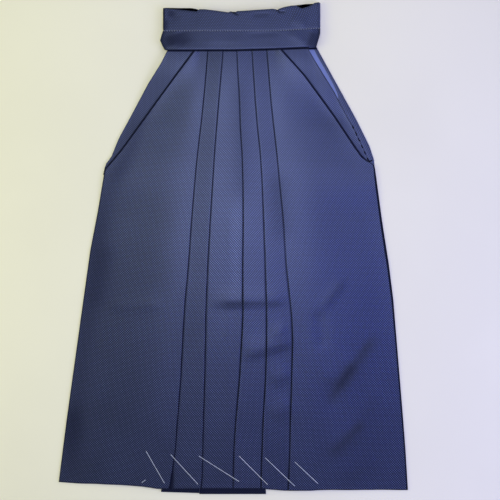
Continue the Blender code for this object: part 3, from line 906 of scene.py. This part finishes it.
def sink_under(near_x, far_x, drop, depth):
    """How far a panel falls over the hidden fold beside its upper line."""
    sloping = abs(far_x - near_x) - CREVICE_OFFSETS[-1] * line_width(drop)
    return 2 * PLEAT_STEP * depth / max(sloping, 1.0)


def main_panel(edge_x, edge_drop, fold_x, fold_drop, reach, side):
    """The wide panel from its outer edge up to the first pleat's level and fold."""
    width = read(EDGE_WIDTHS, edge_drop, side_name(side))
    # A dark line of shade is painted along the outer edge, fading out by the clearance
    shade = read(EDGE_SHADES, edge_drop, side_name(side))
    start = Point(edge_x - side * width, edge_drop, side_level(edge_drop, 2), shade)
    clear = start._replace(x=start.x - side * EDGE_CLEARANCE, shade=0.0)
    rising = climb(clear, fold_x + side * reach, fold_drop, MAIN_COLUMNS, ease=True)
    flat = rising[-1]._replace(x=fold_x + side * FOLD_ROOM)
    return [start, clear] + rising + [flat]


def front_left_row(share):
    edge_x, edge_drop = down(LEFT_MAIN_EDGE, "x", LEFT_CORNER_HEM, share)
    first_x, first_drop = down(PLEAT_LINES, "first", LEFT_PLEAT_HEM, share)
    second_x, second_drop = down(PLEAT_LINES, "second", CENTRE_HEM, share)
    middle_x, middle_drop = down(PLEAT_LINES, "middle", CENTRE_HEM, share)
    depth = pleat_depth(share)
    reach = depth + RAMP_CLEARANCE
    # Near the hem the first pleat's dip and its painted dark line widen into a wedge
    widening = 1 + 3.0 * smooth((first_drop - 848) / 64)
    points = outer_edge(edge_x, edge_drop, -1)
    points += main_panel(edge_x, edge_drop, first_x, first_drop, reach, -1)
    points += knife_pleat(first_x, first_drop, 1, depth, 0.0, True)
    points += crevice("first", first_x, first_drop, 1, widening)
    points += climb(points[-1], second_x - FOLD_ROOM, second_drop, PLEAT_COLUMNS)
    sink = sink_under(first_x, second_x, first_drop, depth)
    points += knife_pleat(second_x, second_drop, 1, depth, sink, True)
    points += crevice("second", second_x, second_drop, 1)
    start, falling = points[-1], crevice("middle", middle_x, middle_drop, -1)[::-1]
    for step in range(1, CENTRE_COLUMNS):
        x = between(start.x, falling[0].x, step / CENTRE_COLUMNS)
        drop = between(second_drop, middle_drop, step / CENTRE_COLUMNS)
        points.append(Point(x, drop, pleat_level(drop, 0), 0.0))
    points += falling
    fourth_x = down(PLEAT_LINES, "fourth", CENTRE_HEM, share)[0]
    sink = sink_under(middle_x, fourth_x, middle_drop, depth)
    # The hidden layers under the middle pleat are painted fully dark, as shade
    for share_under in (0.5, 1.0):
        points.append(Point(middle_x + depth * share_under, middle_drop,
                            falling[-1].z - sink * share_under, 1.0))
    return laid_out(points, edge_x, hem_line(share))


def front_right_row(share):
    middle_x, middle_drop = down(PLEAT_LINES, "middle", CENTRE_HEM, share)
    fourth_x, fourth_drop = down(PLEAT_LINES, "fourth", CENTRE_HEM, share)
    fifth_x, fifth_drop = down(PLEAT_LINES, "fifth", RIGHT_PLEAT_HEM, share)
    edge_x, edge_drop = down(RIGHT_MAIN_EDGE, "x", RIGHT_CORNER_HEM, share)
    depth = pleat_depth(share)
    reach = depth + RAMP_CLEARANCE
    under, top = (pleat_level(middle_drop, level) for level in (1, 2))
    sink = sink_under(middle_x, fourth_x, middle_drop, depth)
    # The hidden layers under the middle pleat are painted fully dark, as shade
    points = [Point(middle_x + depth, middle_drop, under - sink, 1.0),
              Point(middle_x + depth / 2, middle_drop, under - sink / 2, 1.0)]
    points += fold(middle_x, middle_drop, -1, under, top, layer_thickness())
    for line, near_x, near_drop, far_x, far_drop, sink in (
            ("fourth", middle_x, middle_drop, fourth_x, fourth_drop,
             sink_under(fourth_x, fifth_x, fourth_drop, depth)),
            ("fifth", fourth_x, fourth_drop, fifth_x, fifth_drop, 0.0)):
        foot = crevice(line, far_x, far_drop, -1)
        rising = climb(foot[-1], near_x + FOLD_ROOM, near_drop, PLEAT_COLUMNS)
        points += rising[::-1] + foot[::-1]
        points += knife_pleat(far_x, far_drop, -1, depth, sink, False)
    points += main_panel(edge_x, edge_drop, fifth_x, fifth_drop, reach, 1)[::-1]
    points += outer_edge(edge_x, edge_drop, 1)[::-1]
    return laid_out(points, edge_x, hem_line(share))


def make_front_panels():
    shares = row_shares()
    thickness = layer_thickness()
    left = cloth_shell("front_left_cloth", [front_left_row(share) for share in shares],
                       thickness, cloth("face"), cloth("reverse"))
    right = cloth_shell("front_right_cloth", [front_right_row(share) for share in shares],
                        thickness, cloth("face"), cloth("reverse"))
    place_cloth(left, "front_left")
    place_cloth(right, "front_right")


def strip_row(main_edge, strip_edge, drop, side):
    main_x = read(main_edge, drop, "x")
    inner_x = main_x - side * turned_width(drop)
    outer_x = read(strip_edge, drop, "x")
    z = side_level(drop, 0)
    offsets = [inner_x, between(inner_x, main_x, 0.5), main_x - side * 0.5]
    width = max((outer_x - main_x) * side, 0.5)
    for share in (0.03, 0.08, 0.16, 0.3, 0.45, 0.6, 0.75, 0.86, 0.93, 0.97, 1.0):
        offsets.append(main_x + side * width * share)
    points = []
    for x in offsets:
        clear = (x - main_x) * side
        # Painted shade: over the strip, beside the main panel's fold, along the strip's outer edge,
        # and the band's shadow
        dark = max(read(STRIP_SHADES, drop, side_name(side)),
                   0.93 * (1 - smooth((clear - 0.6) / 4.0)),
                   STRIP_EDGE_SHADE * (1 - smooth((width - clear - 0.8) / 2.2)))
        wave = wave_height(x * 2, drop * 2, 0.5) * smooth(clear / 15)
        z_here = z + wave + 0.3 * smooth((clear - width + 3) / 3)
        points.append(Point(x, drop, z_here, max(dark, min(under_band(x, drop), 0.98))))
    return points if side > 0 else points[::-1]


def make_side_strips():
    thickness = layer_thickness()
    sides = (
        ("left", LEFT_MAIN_EDGE, LEFT_STRIP_EDGE, STRIP_END_LEFT, -1),
        ("right", RIGHT_MAIN_EDGE, RIGHT_STRIP_EDGE, STRIP_END_RIGHT, 1),
    )
    for name, main_edge, strip_edge, end, side in sides:
        drops = [between(PANEL_TOP, end, share) for share in row_shares(PANEL_TOP, end)]
        rows = [strip_row(main_edge, strip_edge, drop, side) for drop in drops]
        piece = cloth_shell(f"side_strip_{name}_cloth", rows, thickness,
                            cloth("face"), cloth("reverse"), straight=True)
        place_cloth(piece, f"side_strip_{name}")


def back_edge_left(drop):
    if drop < STRIP_END_LEFT:
        return read(LEFT_STRIP_EDGE, drop, "x") + BACK_INSET
    return read(LEFT_MAIN_EDGE, drop, "x") + BACK_INSET


def back_edge_right(drop):
    if drop < RIGHT_BACK_EDGE[-1].drop:
        return read(RIGHT_BACK_EDGE, drop, "x")
    return read(RIGHT_MAIN_EDGE, drop, "x") - BACK_INSET


def back_row(share, edge_x_at, fold_column, inner_hem, tilt, side):
    """From the outer edge to the centre, back out and in again to the centre seam.

    At the hem the outer fold lies higher than the seam by the tilt.
    """
    thickness = layer_thickness()
    low, middle, high = (level * LEVEL + SOLID_CLOTH / 2 for level in range(3))
    low = thickness / 2
    edge_drop = between(BACK_TOP, BACK_HEM, share)
    centre_drop = between(BACK_TOP, BACK_CENTRE_HEM, share)
    inner_drop = between(BACK_TOP, inner_hem, share)
    edge_x = edge_x_at(edge_drop)
    fold_x = read(BACK_FOLD_LINES, inner_drop, fold_column)
    seam_x = read(BACK_FOLD_LINES, inner_drop, "seam") + side * 0.05
    points = []
    for step in range(14):
        x = between(edge_x, 0.06 * edge_x, step / 13)
        # The band's shadow is painted on the back's top
        shade = min(under_band(x, edge_drop), 0.98)
        points.append(Point(x, between(edge_drop, centre_drop, step / 13), low, shade))
    points += fold(side * GAP / 2, centre_drop, -side, low, middle, thickness)
    # Shade painted on the inner layers and fold near the hem, under the front's hem
    hem_shade = 0.85 * smooth((inner_drop - 898) / 6)
    fold_drop = inner_drop - share * tilt
    points += fold(fold_x, fold_drop, side, middle, high, thickness, shade=hem_shade)
    for step in range(1, 8):
        x = between(fold_x - side * 2, seam_x, step / 7)
        wave = wave_height(x * 2, inner_drop, 0.25)
        drop = between(fold_drop, inner_drop, step / 7)
        points.append(Point(x, drop, high + min(wave, 0.0) + 0.1, hem_shade))
    return points if side < 0 else points[::-1]


def make_back_panels():
    shares = row_shares(BACK_TOP, LONGEST_HEM_DROP)
    thickness = layer_thickness()
    left = [back_row(share, back_edge_left, "left", LEFT_INNER_HEM, INNER_HEM_TILT, -1)
            for share in shares]
    right = [back_row(share, back_edge_right, "right", RIGHT_INNER_HEM, 0.0, 1)
             for share in shares]
    for name, rows, slot in (("left", left, "navy_face"), ("right", right, "blue_reverse")):
        piece = cloth_shell(f"back_{name}_cloth", rows, thickness, cloth("reverse"), cloth("face"))
        turn_up_hem(piece)
        place_cloth(piece, f"back_{name}")


def turn_up_hem(piece):
    """Shows the face on the inner side at the turned-up hem and at the openings' lower ends."""
    for polygon in piece.data.polygons:
        drop = MIDDLE_DROP - polygon.center.y / MM
        at_opening = 222 < drop < 252 and abs(polygon.center.x) / MM > 240
        if drop > BACK_HEM - HEM_ALLOWANCE or at_opening:
            polygon.material_index = 1


def make_opening_hems():
    thickness = layer_thickness()
    for name, edge_x_at, side in (("left", back_edge_left, -1), ("right", back_edge_right, 1)):
        rows = []
        for row_share in row_shares(OPENING_HEM_TOP, OPENING_HEM_END):
            drop = between(OPENING_HEM_TOP, OPENING_HEM_END, row_share)
            outer_x = edge_x_at(drop)
            width = read(OPENING_HEM_WIDTHS, drop, "width")
            points = []
            for share in (0.0, 0.12, 0.35, 0.65, 0.88, 1.0):
                x = outer_x - side * width * (1 - share)
                z = LEVEL + SOLID_CLOTH / 2 + 0.15 * math.sin(math.pi * share)
                # The band's shadow is painted on the hems' tops
                points.append(Point(x, drop, z, min(under_band(x, drop), 0.98)))
            rows.append(points if side > 0 else points[::-1])
        piece = cloth_shell(f"opening_hem_{name}_cloth", rows, thickness,
                            cloth("face"), cloth("reverse"))
        place_cloth(piece, f"opening_hem_{name}")


def make_gusset():
    rows = []
    for row in range(41):
        drop = between(GUSSET_TOP, GUSSET_HEM, row / 40)
        half = read(GUSSET_HALF_WIDTHS, drop, "width")
        z = GUSSET_HEIGHT + SOLID_CLOTH / 2
        rows.append([Point(between(-half, half, step / 10), drop, z, 0.0) for step in range(11)])
    piece = cloth_shell("crotch_gusset_cloth", rows, layer_thickness(),
                        cloth("face"), cloth("reverse"))
    place_cloth(piece, "crotch_gusset")


def band_drop(x, share):
    """Drop of a point of the front band, from its top edge to its lower edge."""
    return between(read(BAND_EDGES, x, "top"), read(BAND_EDGES, x, "low"), share)


def band_row(share):
    """Round the band, from the return under its middle to the left end, over and back."""
    left, right = read(BAND_ENDS, share, "left"), read(BAND_ENDS, share, "right")
    edge = min(share, 1 - share)
    dip = 0.22 * (1 - smooth(edge / 0.05))
    top = BAND_TOP_Z + 0.25 - dip
    path = [Point(-BAND_RETURN_GAP / 2, 0, BAND_RETURN_Z, 0.0)]
    for step in range(1, 9):
        path.append(Point(between(-BAND_RETURN_GAP / 2, left + 6, step / 9), 0,
                          BAND_RETURN_Z, 0.0))
    # The band's folded ends are painted dark with shade
    path += fold(left, 0, -1, BAND_RETURN_Z, top - BAND_END_FALL, BAND_CLOTH, 9,
                 BAND_END_SHADE)
    for step in range(1, BAND_COLUMNS):
        x = between(left + 4, right - 4, step / BAND_COLUMNS)
        drop = band_drop(x, share)
        lift, dark = crease_and_shade_sums(BAND_CREASES_AND_PAINTED_SHADE, x, drop)
        lift += wave_height(x * 2, drop * 3, 0.3)
        fade = smooth(min(x - left, right - x) / 12)
        fall = BAND_END_FALL * ((1 - smooth((x - left) / 34)) + 0.7 * (1 - smooth((right - x) / 20)))
        path.append(Point(x, 0, top + fade * lift - fall, dark))
    path += fold(right, 0, 1, top - 0.7 * BAND_END_FALL, BAND_RETURN_Z, BAND_CLOTH, 9,
                 BAND_END_SHADE)
    for step in range(1, 9):
        path.append(Point(between(right - 6, BAND_RETURN_GAP / 2, step / 9), 0,
                          BAND_RETURN_Z, 0.0))
    path.append(Point(BAND_RETURN_GAP / 2, 0, BAND_RETURN_Z, 0.0))
    return [p._replace(drop=band_drop(p.x, share)) for p in path]


def make_front_band():
    rows = [band_row(share) for share in BAND_SHARES]
    piece = cloth_shell("front_band_cloth", rows, BAND_CLOTH, cloth("face"), cloth("reverse"))
    place_cloth(piece, "front_band")


def tie_rows(x_range, z_range, runs, top_at, low_at, columns, creases=(), tuck=0.0):
    """A tie folded to and fro: runs that lie on each other, joined by folds at both ends.

    The top run reaches down under the band by the tuck.
    """
    left, right = x_range
    spacing = (z_range[1] - z_range[0] - TIE_CLOTH) / (runs - 1)
    rows = []
    for share in TIE_SHARES:
        tucked = 0.25 * smooth((share - 0.9) / 0.08) if tuck else 0.0
        dip = 0.35 * (1 - smooth(share / 0.08)) + tucked
        path = []
        for run in range(runs):
            z = z_range[0] + TIE_CLOTH / 2 + run * spacing
            rightward = (runs - 1 - run) % 2 == 0
            ends = (left + 3, right - 3) if rightward else (right - 3, left + 3)
            last = run == runs - 1
            steps = columns if last else min(columns, HIDDEN_TIE_COLUMNS)
            for step in range(steps + 1):
                x = between(*ends, step / steps)
                low = low_at(x) + (tuck if last else 0.0)
                drop = between(top_at(x, run), low, share)
                lift = dark = 0.0
                if last:
                    lift, dark = crease_and_shade_sums(creases, x, drop)
                    lift += min(wave_height(x * 2, drop * 3, 0.4), 0.0) - dip
                    # Shade painted along the top run's lower edge beside the band, and at its ends
                    dark += TIE_EDGE_SHADE * smooth((share - 0.8) / 0.12) if tuck else 0.0
                    inside = min(x - left, right - x) - 3.0
                    dark = max(dark, TIE_END_SHADE * (1 - smooth(inside / 3.0)))
                path.append(Point(x, drop, z + lift, dark))
            if not last:
                side = 1 if rightward else -1
                edge_x = right if rightward else left
                turn = fold(edge_x, 0, side, z, z + spacing, TIE_CLOTH, 6, TIE_FOLD_SHADE)
                path += [p._replace(drop=between(top_at(p.x, run), low_at(p.x), share))
                         for p in turn]
        rows.append(path)
    return rows


def make_ties():
    upper, lower = FRONT_TIES_BAND_SHARES
    rows = tie_rows(FRONT_TIES_X, FRONT_TIES_Z, FRONT_TIES_RUNS,
                    lambda x, run: band_drop(x, upper), lambda x: band_drop(x, lower), 20)
    piece = cloth_shell("front_ties_cloth", rows, TIE_CLOTH, cloth("face"), cloth("reverse"))
    place_cloth(piece, "front_ties")
    rows = tie_rows(
        (WAIST_EDGE[0].x, WAIST_EDGE[-1].x), BACK_TIES_Z, BACK_TIES_RUNS,
        lambda x, run: (read(WAIST_EDGE, x, "drop") + read(WAIST_EDGE, x, "step")
                        + BACK_TIES_SETBACKS[run]),
        lambda x: band_drop(x, 0.0) - GAP, 220, TIE_CREASES_AND_PAINTED_SHADE, TIE_TUCK)
    piece = cloth_shell("back_ties_cloth", rows, TIE_CLOTH, cloth("face"), cloth("reverse"))
    place_cloth(piece, "back_ties")


def make_back_band():
    """The back's waistband, folded over at its top edge, with its shadow painted in: nearly black.
    """
    thickness = layer_thickness()
    low, high = thickness / 2, BACK_BAND_Z[1] - thickness / 2
    left, right = BACK_BAND_X
    rows = []
    for step in range(81):
        x = between(left, right, step / 80)
        top = read(WAIST_EDGE, x, "drop")
        points = []
        for share in (0.0, 0.3, 0.6, 0.9):
            points.append(Point(x, between(BACK_TOP - GAP, top + 2, share), low, 0.0))
        radius = (high - low) / 2
        for turn_step in range(7):
            turn = math.pi * turn_step / 6
            drop = top + radius + thickness / 2 - radius * math.sin(turn)
            points.append(Point(x, drop, (low + high) / 2 - radius * math.cos(turn),
                                BACK_BAND_SHADE * turn_step / 6))
        for share in (0.9, 0.6, 0.3, 0.0):
            points.append(Point(x, between(BACK_TOP - GAP, top + 2, share), high,
                                BACK_BAND_SHADE))
        rows.append(points)
    piece = cloth_shell("back_band_cloth", rows, thickness,
                        cloth("shadow"), cloth("shadow"), across="drop")
    place_cloth(piece, "back_band")


def grow_tree(name, inputs, parts, links):
    """Geometry nodes that grow something along the edges of a mesh and give it a material.

    A part has its kind and its values, by a setting's name or a socket. The last link's output
    is what has grown.
    """
    tree = bpy.data.node_groups.new(name, "GeometryNodeTree")
    sockets = [("Geometry", "Geometry"), *inputs, ("Material", "Material")]
    for title, kind in sockets:
        tree.interface.new_socket(name=title, in_out="INPUT", socket_type="NodeSocket" + kind)
    tree.interface.new_socket(name="Geometry", in_out="OUTPUT", socket_type="NodeSocketGeometry")
    nodes = {}
    for key, (kind, values) in {**GROW_PARTS, **parts}.items():
        nodes[key] = tree.nodes.new(kind)
        for setting, value in values.items():
            if isinstance(setting, str) and hasattr(nodes[key], setting):
                setattr(nodes[key], setting, value)
            else:
                nodes[key].inputs[setting].default_value = value
    for source, output, target, socket in (*links, *GROW_LINKS):
        tree.links.new(nodes[source].outputs[output], nodes[target].inputs[socket])
    return tree


GROW_PARTS = {
    "given": ("NodeGroupInput", {}),
    "result": ("NodeGroupOutput", {}),
    "curve": ("GeometryNodeMeshToCurve", {}),
    "real": ("GeometryNodeRealizeInstances", {}),
    "soft": ("GeometryNodeSetShadeSmooth", {}),
    "paint": ("GeometryNodeSetMaterial", {}),
}
GROW_LINKS = (
    ("given", "Geometry", "curve", "Mesh"),
    ("real", "Geometry", "soft", "Geometry"),
    ("soft", "Geometry", "paint", "Geometry"),
    ("given", "Material", "paint", "Material"),
    ("paint", "Geometry", "result", "Geometry"),
)


def stitch_tree():
    """Short stitches at even steps, each turned a little."""
    return grow_tree("Short stitches", (
        ("Pitch", "Float"), ("Stitch Length", "Float"), ("Thickness", "Float"), ("Seed", "Int"),
    ), {
        "spaced": ("GeometryNodeCurveToPoints", {"mode": "LENGTH"}),
        "ball": ("GeometryNodeMeshUVSphere", {"Segments": 8, "Rings": 6, "Radius": 0.5}),
        "place": ("GeometryNodeInstanceOnPoints", {}),
        "turn": ("FunctionNodeAlignRotationToVector", {"axis": "X"}),
        "jitter": ("FunctionNodeRandomValue", {"data_type": "FLOAT", 2: -0.16, 3: 0.16}),
        "spin": ("FunctionNodeAxisAngleToRotation", {"Axis": (0.0, 0.0, 1.0)}),
        "both": ("FunctionNodeRotateRotation", {}),
        "size": ("ShaderNodeCombineXYZ", {}),
        "flat": ("ShaderNodeMath", {"operation": "MULTIPLY", 1: 0.7}),
    }, (
        ("curve", "Curve", "spaced", "Curve"),
        ("given", "Pitch", "spaced", "Length"),
        ("spaced", "Points", "place", "Points"),
        ("ball", "Mesh", "place", "Instance"),
        ("spaced", "Tangent", "turn", "Vector"),
        ("given", "Seed", "jitter", "Seed"),
        ("jitter", 1, "spin", "Angle"),
        ("turn", "Rotation", "both", "Rotation"),
        ("spin", "Rotation", "both", "Rotate By"),
        ("both", "Rotation", "place", "Rotation"),
        ("given", "Stitch Length", "size", "X"),
        ("given", "Thickness", "size", "Y"),
        ("given", "Thickness", "flat", 0),
        ("flat", 0, "size", "Z"),
        ("size", "Vector", "place", "Scale"),
        ("place", "Instances", "real", "Geometry"),
    ))


def thread_tree():
    """A round thread."""
    return grow_tree("Round thread", (("Thickness", "Float"),), {
        "profile": ("GeometryNodeCurvePrimitiveCircle", {"Resolution": 8}),
        "half": ("ShaderNodeMath", {"operation": "MULTIPLY", 1: 0.5}),
        "tube": ("GeometryNodeCurveToMesh", {"Fill Caps": True}),
    }, (
        ("given", "Thickness", "half", 0),
        ("half", 0, "profile", "Radius"),
        ("curve", "Curve", "tube", "Curve"),
        ("profile", "Curve", "tube", "Profile Curve"),
        ("tube", "Mesh", "real", "Geometry"),
    ))


def grown(name, lines, tree, inputs):
    """The plain mesh that a tree grows along these lines of points, given in metres."""
    points, edges = [], []
    for line in lines:
        first = len(points)
        points += line
        edges += [(first + index, first + index + 1) for index in range(len(line) - 1)]
    guide_mesh = bpy.data.meshes.new(name + "_guide")
    guide_mesh.from_pydata(points, edges, [])
    guide = bpy.data.objects.new(name + "_guide", guide_mesh)
    bpy.context.scene.collection.objects.link(guide)
    modifier = guide.modifiers.new("grow", "NODES")
    modifier.node_group = tree
    for socket in tree.interface.items_tree:
        if socket.in_out == "INPUT" and socket.name in inputs:
            modifier[socket.identifier] = inputs[socket.name]
    bpy.context.view_layer.update()
    graph = bpy.context.evaluated_depsgraph_get()
    mesh = bpy.data.meshes.new_from_object(guide.evaluated_get(graph), depsgraph=graph)
    if not mesh.polygons:
        raise RuntimeError(f"{name}: the nodes made no faces")
    mesh.name = name
    piece = bpy.data.objects.new(name, mesh)
    bpy.context.scene.collection.objects.link(piece)
    guide.modifiers.remove(modifier)
    bpy.data.objects.remove(guide, do_unlink=True)
    return piece


def tree_over(names):
    """What finds the height of finished pieces from above."""
    points, faces = [], []
    for name in names:
        mesh = bpy.data.objects[name].data
        first = len(points)
        points += [vertex.co.copy() for vertex in mesh.vertices]
        faces += [tuple(first + index for index in face.vertices) for face in mesh.polygons]
    return BVHTree.FromPolygons(points, faces)


def height_over(tree, x, drop):
    """Height of the topmost surface at a place, in metres."""
    start = Vector((x * MM, (MIDDLE_DROP - drop) * MM, 0.2))
    hit = tree.ray_cast(start, Vector((0, 0, -1)))
    if hit[0] is None:
        raise RuntimeError(f"nothing lies under {x:.0f}, {drop:.0f}")
    return hit[0].z


def taut(heights):
    """Heights of a thread pulled tight over these heights, at even steps."""
    kept = [0]
    for index in range(1, len(heights)):
        while len(kept) > 1:
            a, b = kept[-2], kept[-1]
            rise = (heights[index] - heights[a]) / (index - a)
            if heights[b] < heights[a] + rise * (b - a):
                kept.pop()
            else:
                break
        kept.append(index)
    tight = []
    for a, b in zip(kept, kept[1:]):
        for index in range(a, b):
            tight.append(between(heights[a], heights[b], (index - a) / (b - a)))
    return tight + [heights[-1]]


def make_basting():
    stitching = bpy.context.scene.hakama_stitching
    tree = tree_over(["front_left_cloth", "front_right_cloth"])
    lines = []
    for thread in BASTING:
        length = math.hypot(thread.end_x - thread.x, thread.end_drop - thread.drop)
        count = max(round(length / 2.5), 4)
        places = [(between(thread.x, thread.end_x, step / count),
                   between(thread.drop, thread.end_drop, step / count))
                  for step in range(count + 1)]
        heights = taut([height_over(tree, x, drop) for x, drop in places])
        lift = stitching.basting_thickness * 0.45
        line = []
        for index, (x, drop) in enumerate(places):
            inside = min(index, count - index)
            dip = 0.0008 if inside == 0 else 0.0
            line.append((x * MM, (MIDDLE_DROP - drop) * MM, heights[index] + lift - dip))
        lines.append(line)
    piece = grown("basting_thread", lines, thread_tree(), {
        "Thickness": stitching.basting_thickness,
        "Material": thread_material("basting_thread", stitching.basting_colour),
    })
    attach(piece, BODY)


def make_stitches():
    stitching = bpy.context.scene.hakama_stitching
    band = tree_over(["front_band_cloth"])
    line = []
    for step in range(161):
        x = between(BAND_ENDS[0].left + 3, BAND_ENDS[0].right - 3, step / 160)
        drop = band_drop(x, PICK_SHARE)
        line.append((x * MM, (MIDDLE_DROP - drop) * MM, height_over(band, x, drop)))
    tree = stitch_tree()
    picks = grown("band_pick_stitches", [line], tree, {
        "Pitch": stitching.pick_pitch, "Stitch Length": stitching.pick_length,
        "Thickness": stitching.pick_thickness, "Seed": stitching.seed,
        "Material": thread_material("pick_thread", stitching.pick_colour),
    })
    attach(picks, BODY)
    strip = tree_over(["side_strip_right_cloth"])
    line = []
    for step in range(41):
        drop = between(*EDGE_STITCH_DROPS, step / 40)
        x = read(RIGHT_STRIP_EDGE, drop, "x") - EDGE_STITCH_INSET
        line.append((x * MM, (MIDDLE_DROP - drop) * MM, height_over(strip, x, drop)))
    bar_ends = ((OPENING_BAR.x, OPENING_BAR.drop), (OPENING_BAR.end_x, OPENING_BAR.end_drop))
    leg = tree_over(["side_strip_right_cloth", "back_right_cloth", "front_right_cloth",
                     "opening_hem_right_cloth"])
    bar = [(x * MM, (MIDDLE_DROP - drop) * MM, height_over(leg, x, drop)) for x, drop in bar_ends]
    dashes = grown("opening_edge_stitches", [line, bar], tree, {
        "Pitch": stitching.edge_pitch, "Stitch Length": stitching.edge_length,
        "Thickness": stitching.edge_thickness, "Seed": stitching.seed + 1,
        "Material": thread_material("edge_thread", stitching.edge_colour, 0.02),
    })
    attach(dashes, BODY)


def area_light(name, place, target, size, power, colour):
    data = bpy.data.lights.new(name, "AREA")
    data.shape = "DISK"
    data.size = size
    data.energy = power
    data.color = colour
    light = bpy.data.objects.new(name, data)
    light.location = place
    direction = Vector(target) - Vector(place)
    light.rotation_euler = direction.to_track_quat("-Z", "Y").to_euler()
    bpy.context.scene.collection.objects.link(light)


def make_stage():
    scene = bpy.context.scene
    stage = scene.hakama_stage
    half = FLOOR_SIZE / 2
    mesh = bpy.data.meshes.new("floor")
    corners = [(-half, -half), (half, -half), (half, half), (-half, half)]
    mesh.from_pydata([(x, y, -FLOOR_DEPTH) for x, y in corners], [], [(0, 1, 2, 3)])
    mesh.materials.append(floor_material(stage.floor_left, stage.floor_right))
    floor = bpy.data.objects.new("floor", mesh)
    scene.collection.objects.link(floor)
    world = bpy.data.worlds.new("soft_room")
    world.use_nodes = True
    sky = world.node_tree.nodes["Background"]
    sky.inputs["Color"].default_value = (1.0, 1.0, 0.9, 1.0)
    sky.inputs["Strength"].default_value = 0.2
    scene.world = world
    for name, settings in LIGHTS.items():
        area_light(name, *settings)
    data = bpy.data.cameras.new("photo_view")
    distance = stage.camera_height - VIEW_PLANE
    data.sensor_width = SENSOR
    data.lens = SENSOR * distance / stage.view_width
    data.clip_end = 20.0
    camera = bpy.data.objects.new("photo_view", data)
    camera.location = (*VIEW_CENTRE, stage.camera_height)
    scene.collection.objects.link(camera)
    scene.camera = camera
    scene.view_settings.view_transform = "Standard"


class HAKAMA_OT_front_panels(bpy.types.Operator):
    """Make the two front legs with their side pleats and long pleats"""
    bl_idname = "hakama.front_panels"
    bl_label = "Front panels"

    def execute(self, context):
        make_front_panels()
        return {"FINISHED"}


class HAKAMA_OT_side_strips(bpy.types.Operator):
    """Make the layers that show outside the side pleats"""
    bl_idname = "hakama.side_strips"
    bl_label = "Side strips"

    def execute(self, context):
        make_side_strips()
        return {"FINISHED"}


class HAKAMA_OT_back_panels(bpy.types.Operator):
    """Make the two back legs with their hidden folds"""
    bl_idname = "hakama.back_panels"
    bl_label = "Back panels"

    def execute(self, context):
        make_back_panels()
        return {"FINISHED"}


class HAKAMA_OT_opening_hems(bpy.types.Operator):
    """Make the turned hems of the back's side openings"""
    bl_idname = "hakama.opening_hems"
    bl_label = "Opening hems"

    def execute(self, context):
        make_opening_hems()
        return {"FINISHED"}


class HAKAMA_OT_gusset(bpy.types.Operator):
    """Make the gusset between the legs"""
    bl_idname = "hakama.gusset"
    bl_label = "Gusset"

    def execute(self, context):
        make_gusset()
        return {"FINISHED"}


class HAKAMA_OT_front_band(bpy.types.Operator):
    """Make the front band with the ties' first turns"""
    bl_idname = "hakama.front_band"
    bl_label = "Front band"

    def execute(self, context):
        make_front_band()
        return {"FINISHED"}


class HAKAMA_OT_ties(bpy.types.Operator):
    """Make the folded front and back ties"""
    bl_idname = "hakama.ties"
    bl_label = "Folded ties"

    def execute(self, context):
        make_ties()
        return {"FINISHED"}


class HAKAMA_OT_back_band(bpy.types.Operator):
    """Make the back's waistband"""
    bl_idname = "hakama.back_band"
    bl_label = "Back band"

    def execute(self, context):
        make_back_band()
        return {"FINISHED"}


class HAKAMA_OT_stitches(bpy.types.Operator):
    """Sew the band's pick stitches and the opening edge's stitches"""
    bl_idname = "hakama.stitches"
    bl_label = "Stitches"

    def execute(self, context):
        make_stitches()
        return {"FINISHED"}


class HAKAMA_OT_basting(bpy.types.Operator):
    """Lay the white basting stitches across the hem"""
    bl_idname = "hakama.basting"
    bl_label = "Basting stitches"

    def execute(self, context):
        make_basting()
        return {"FINISHED"}


class HAKAMA_OT_stage(bpy.types.Operator):
    """Set up the pale surface, the lights and the camera"""
    bl_idname = "hakama.stage"
    bl_label = "Stage"

    def execute(self, context):
        make_stage()
        return {"FINISHED"}


OPERATORS = (
    HAKAMA_OT_front_panels, HAKAMA_OT_side_strips, HAKAMA_OT_back_panels,
    HAKAMA_OT_opening_hems, HAKAMA_OT_gusset, HAKAMA_OT_front_band, HAKAMA_OT_ties,
    HAKAMA_OT_back_band, HAKAMA_OT_stitches, HAKAMA_OT_basting, HAKAMA_OT_stage,
)


class HAKAMA_PT_pieces(bpy.types.Panel):
    bl_idname = "HAKAMA_PT_pieces"
    bl_label = "Hakama trousers"
    bl_space_type = "VIEW_3D"
    bl_region_type = "UI"
    bl_category = "Hakama"

    def draw(self, context):
        layout = self.layout
        for operator in OPERATORS:
            layout.operator(operator.bl_idname)
        for group in ("hakama_cloth", "hakama_stitching", "hakama_stage"):
            settings = getattr(context.scene, group)
            box = layout.box()
            for name in settings.__annotations__:
                box.prop(settings, name)


CLASSES = (HakamaCloth, HakamaStitching, HakamaStage, *OPERATORS, HAKAMA_PT_pieces)


def register():
    for cls in CLASSES:
        bpy.utils.register_class(cls)
    bpy.types.Scene.hakama_cloth = PointerProperty(type=HakamaCloth)
    bpy.types.Scene.hakama_stitching = PointerProperty(type=HakamaStitching)
    bpy.types.Scene.hakama_stage = PointerProperty(type=HakamaStage)


def unregister():
    del bpy.types.Scene.hakama_stage
    del bpy.types.Scene.hakama_stitching
    del bpy.types.Scene.hakama_cloth
    for cls in reversed(CLASSES):
        bpy.utils.unregister_class(cls)


def main():
    register()
    bpy.ops.hakama.front_panels()
    bpy.ops.hakama.side_strips()
    bpy.ops.hakama.back_panels()
    bpy.ops.hakama.opening_hems()
    bpy.ops.hakama.gusset()
    bpy.ops.hakama.front_band()
    bpy.ops.hakama.ties()
    bpy.ops.hakama.back_band()
    bpy.ops.hakama.stitches()
    bpy.ops.hakama.basting()
    bpy.ops.hakama.stage()


if __name__ == "__main__":
    main()
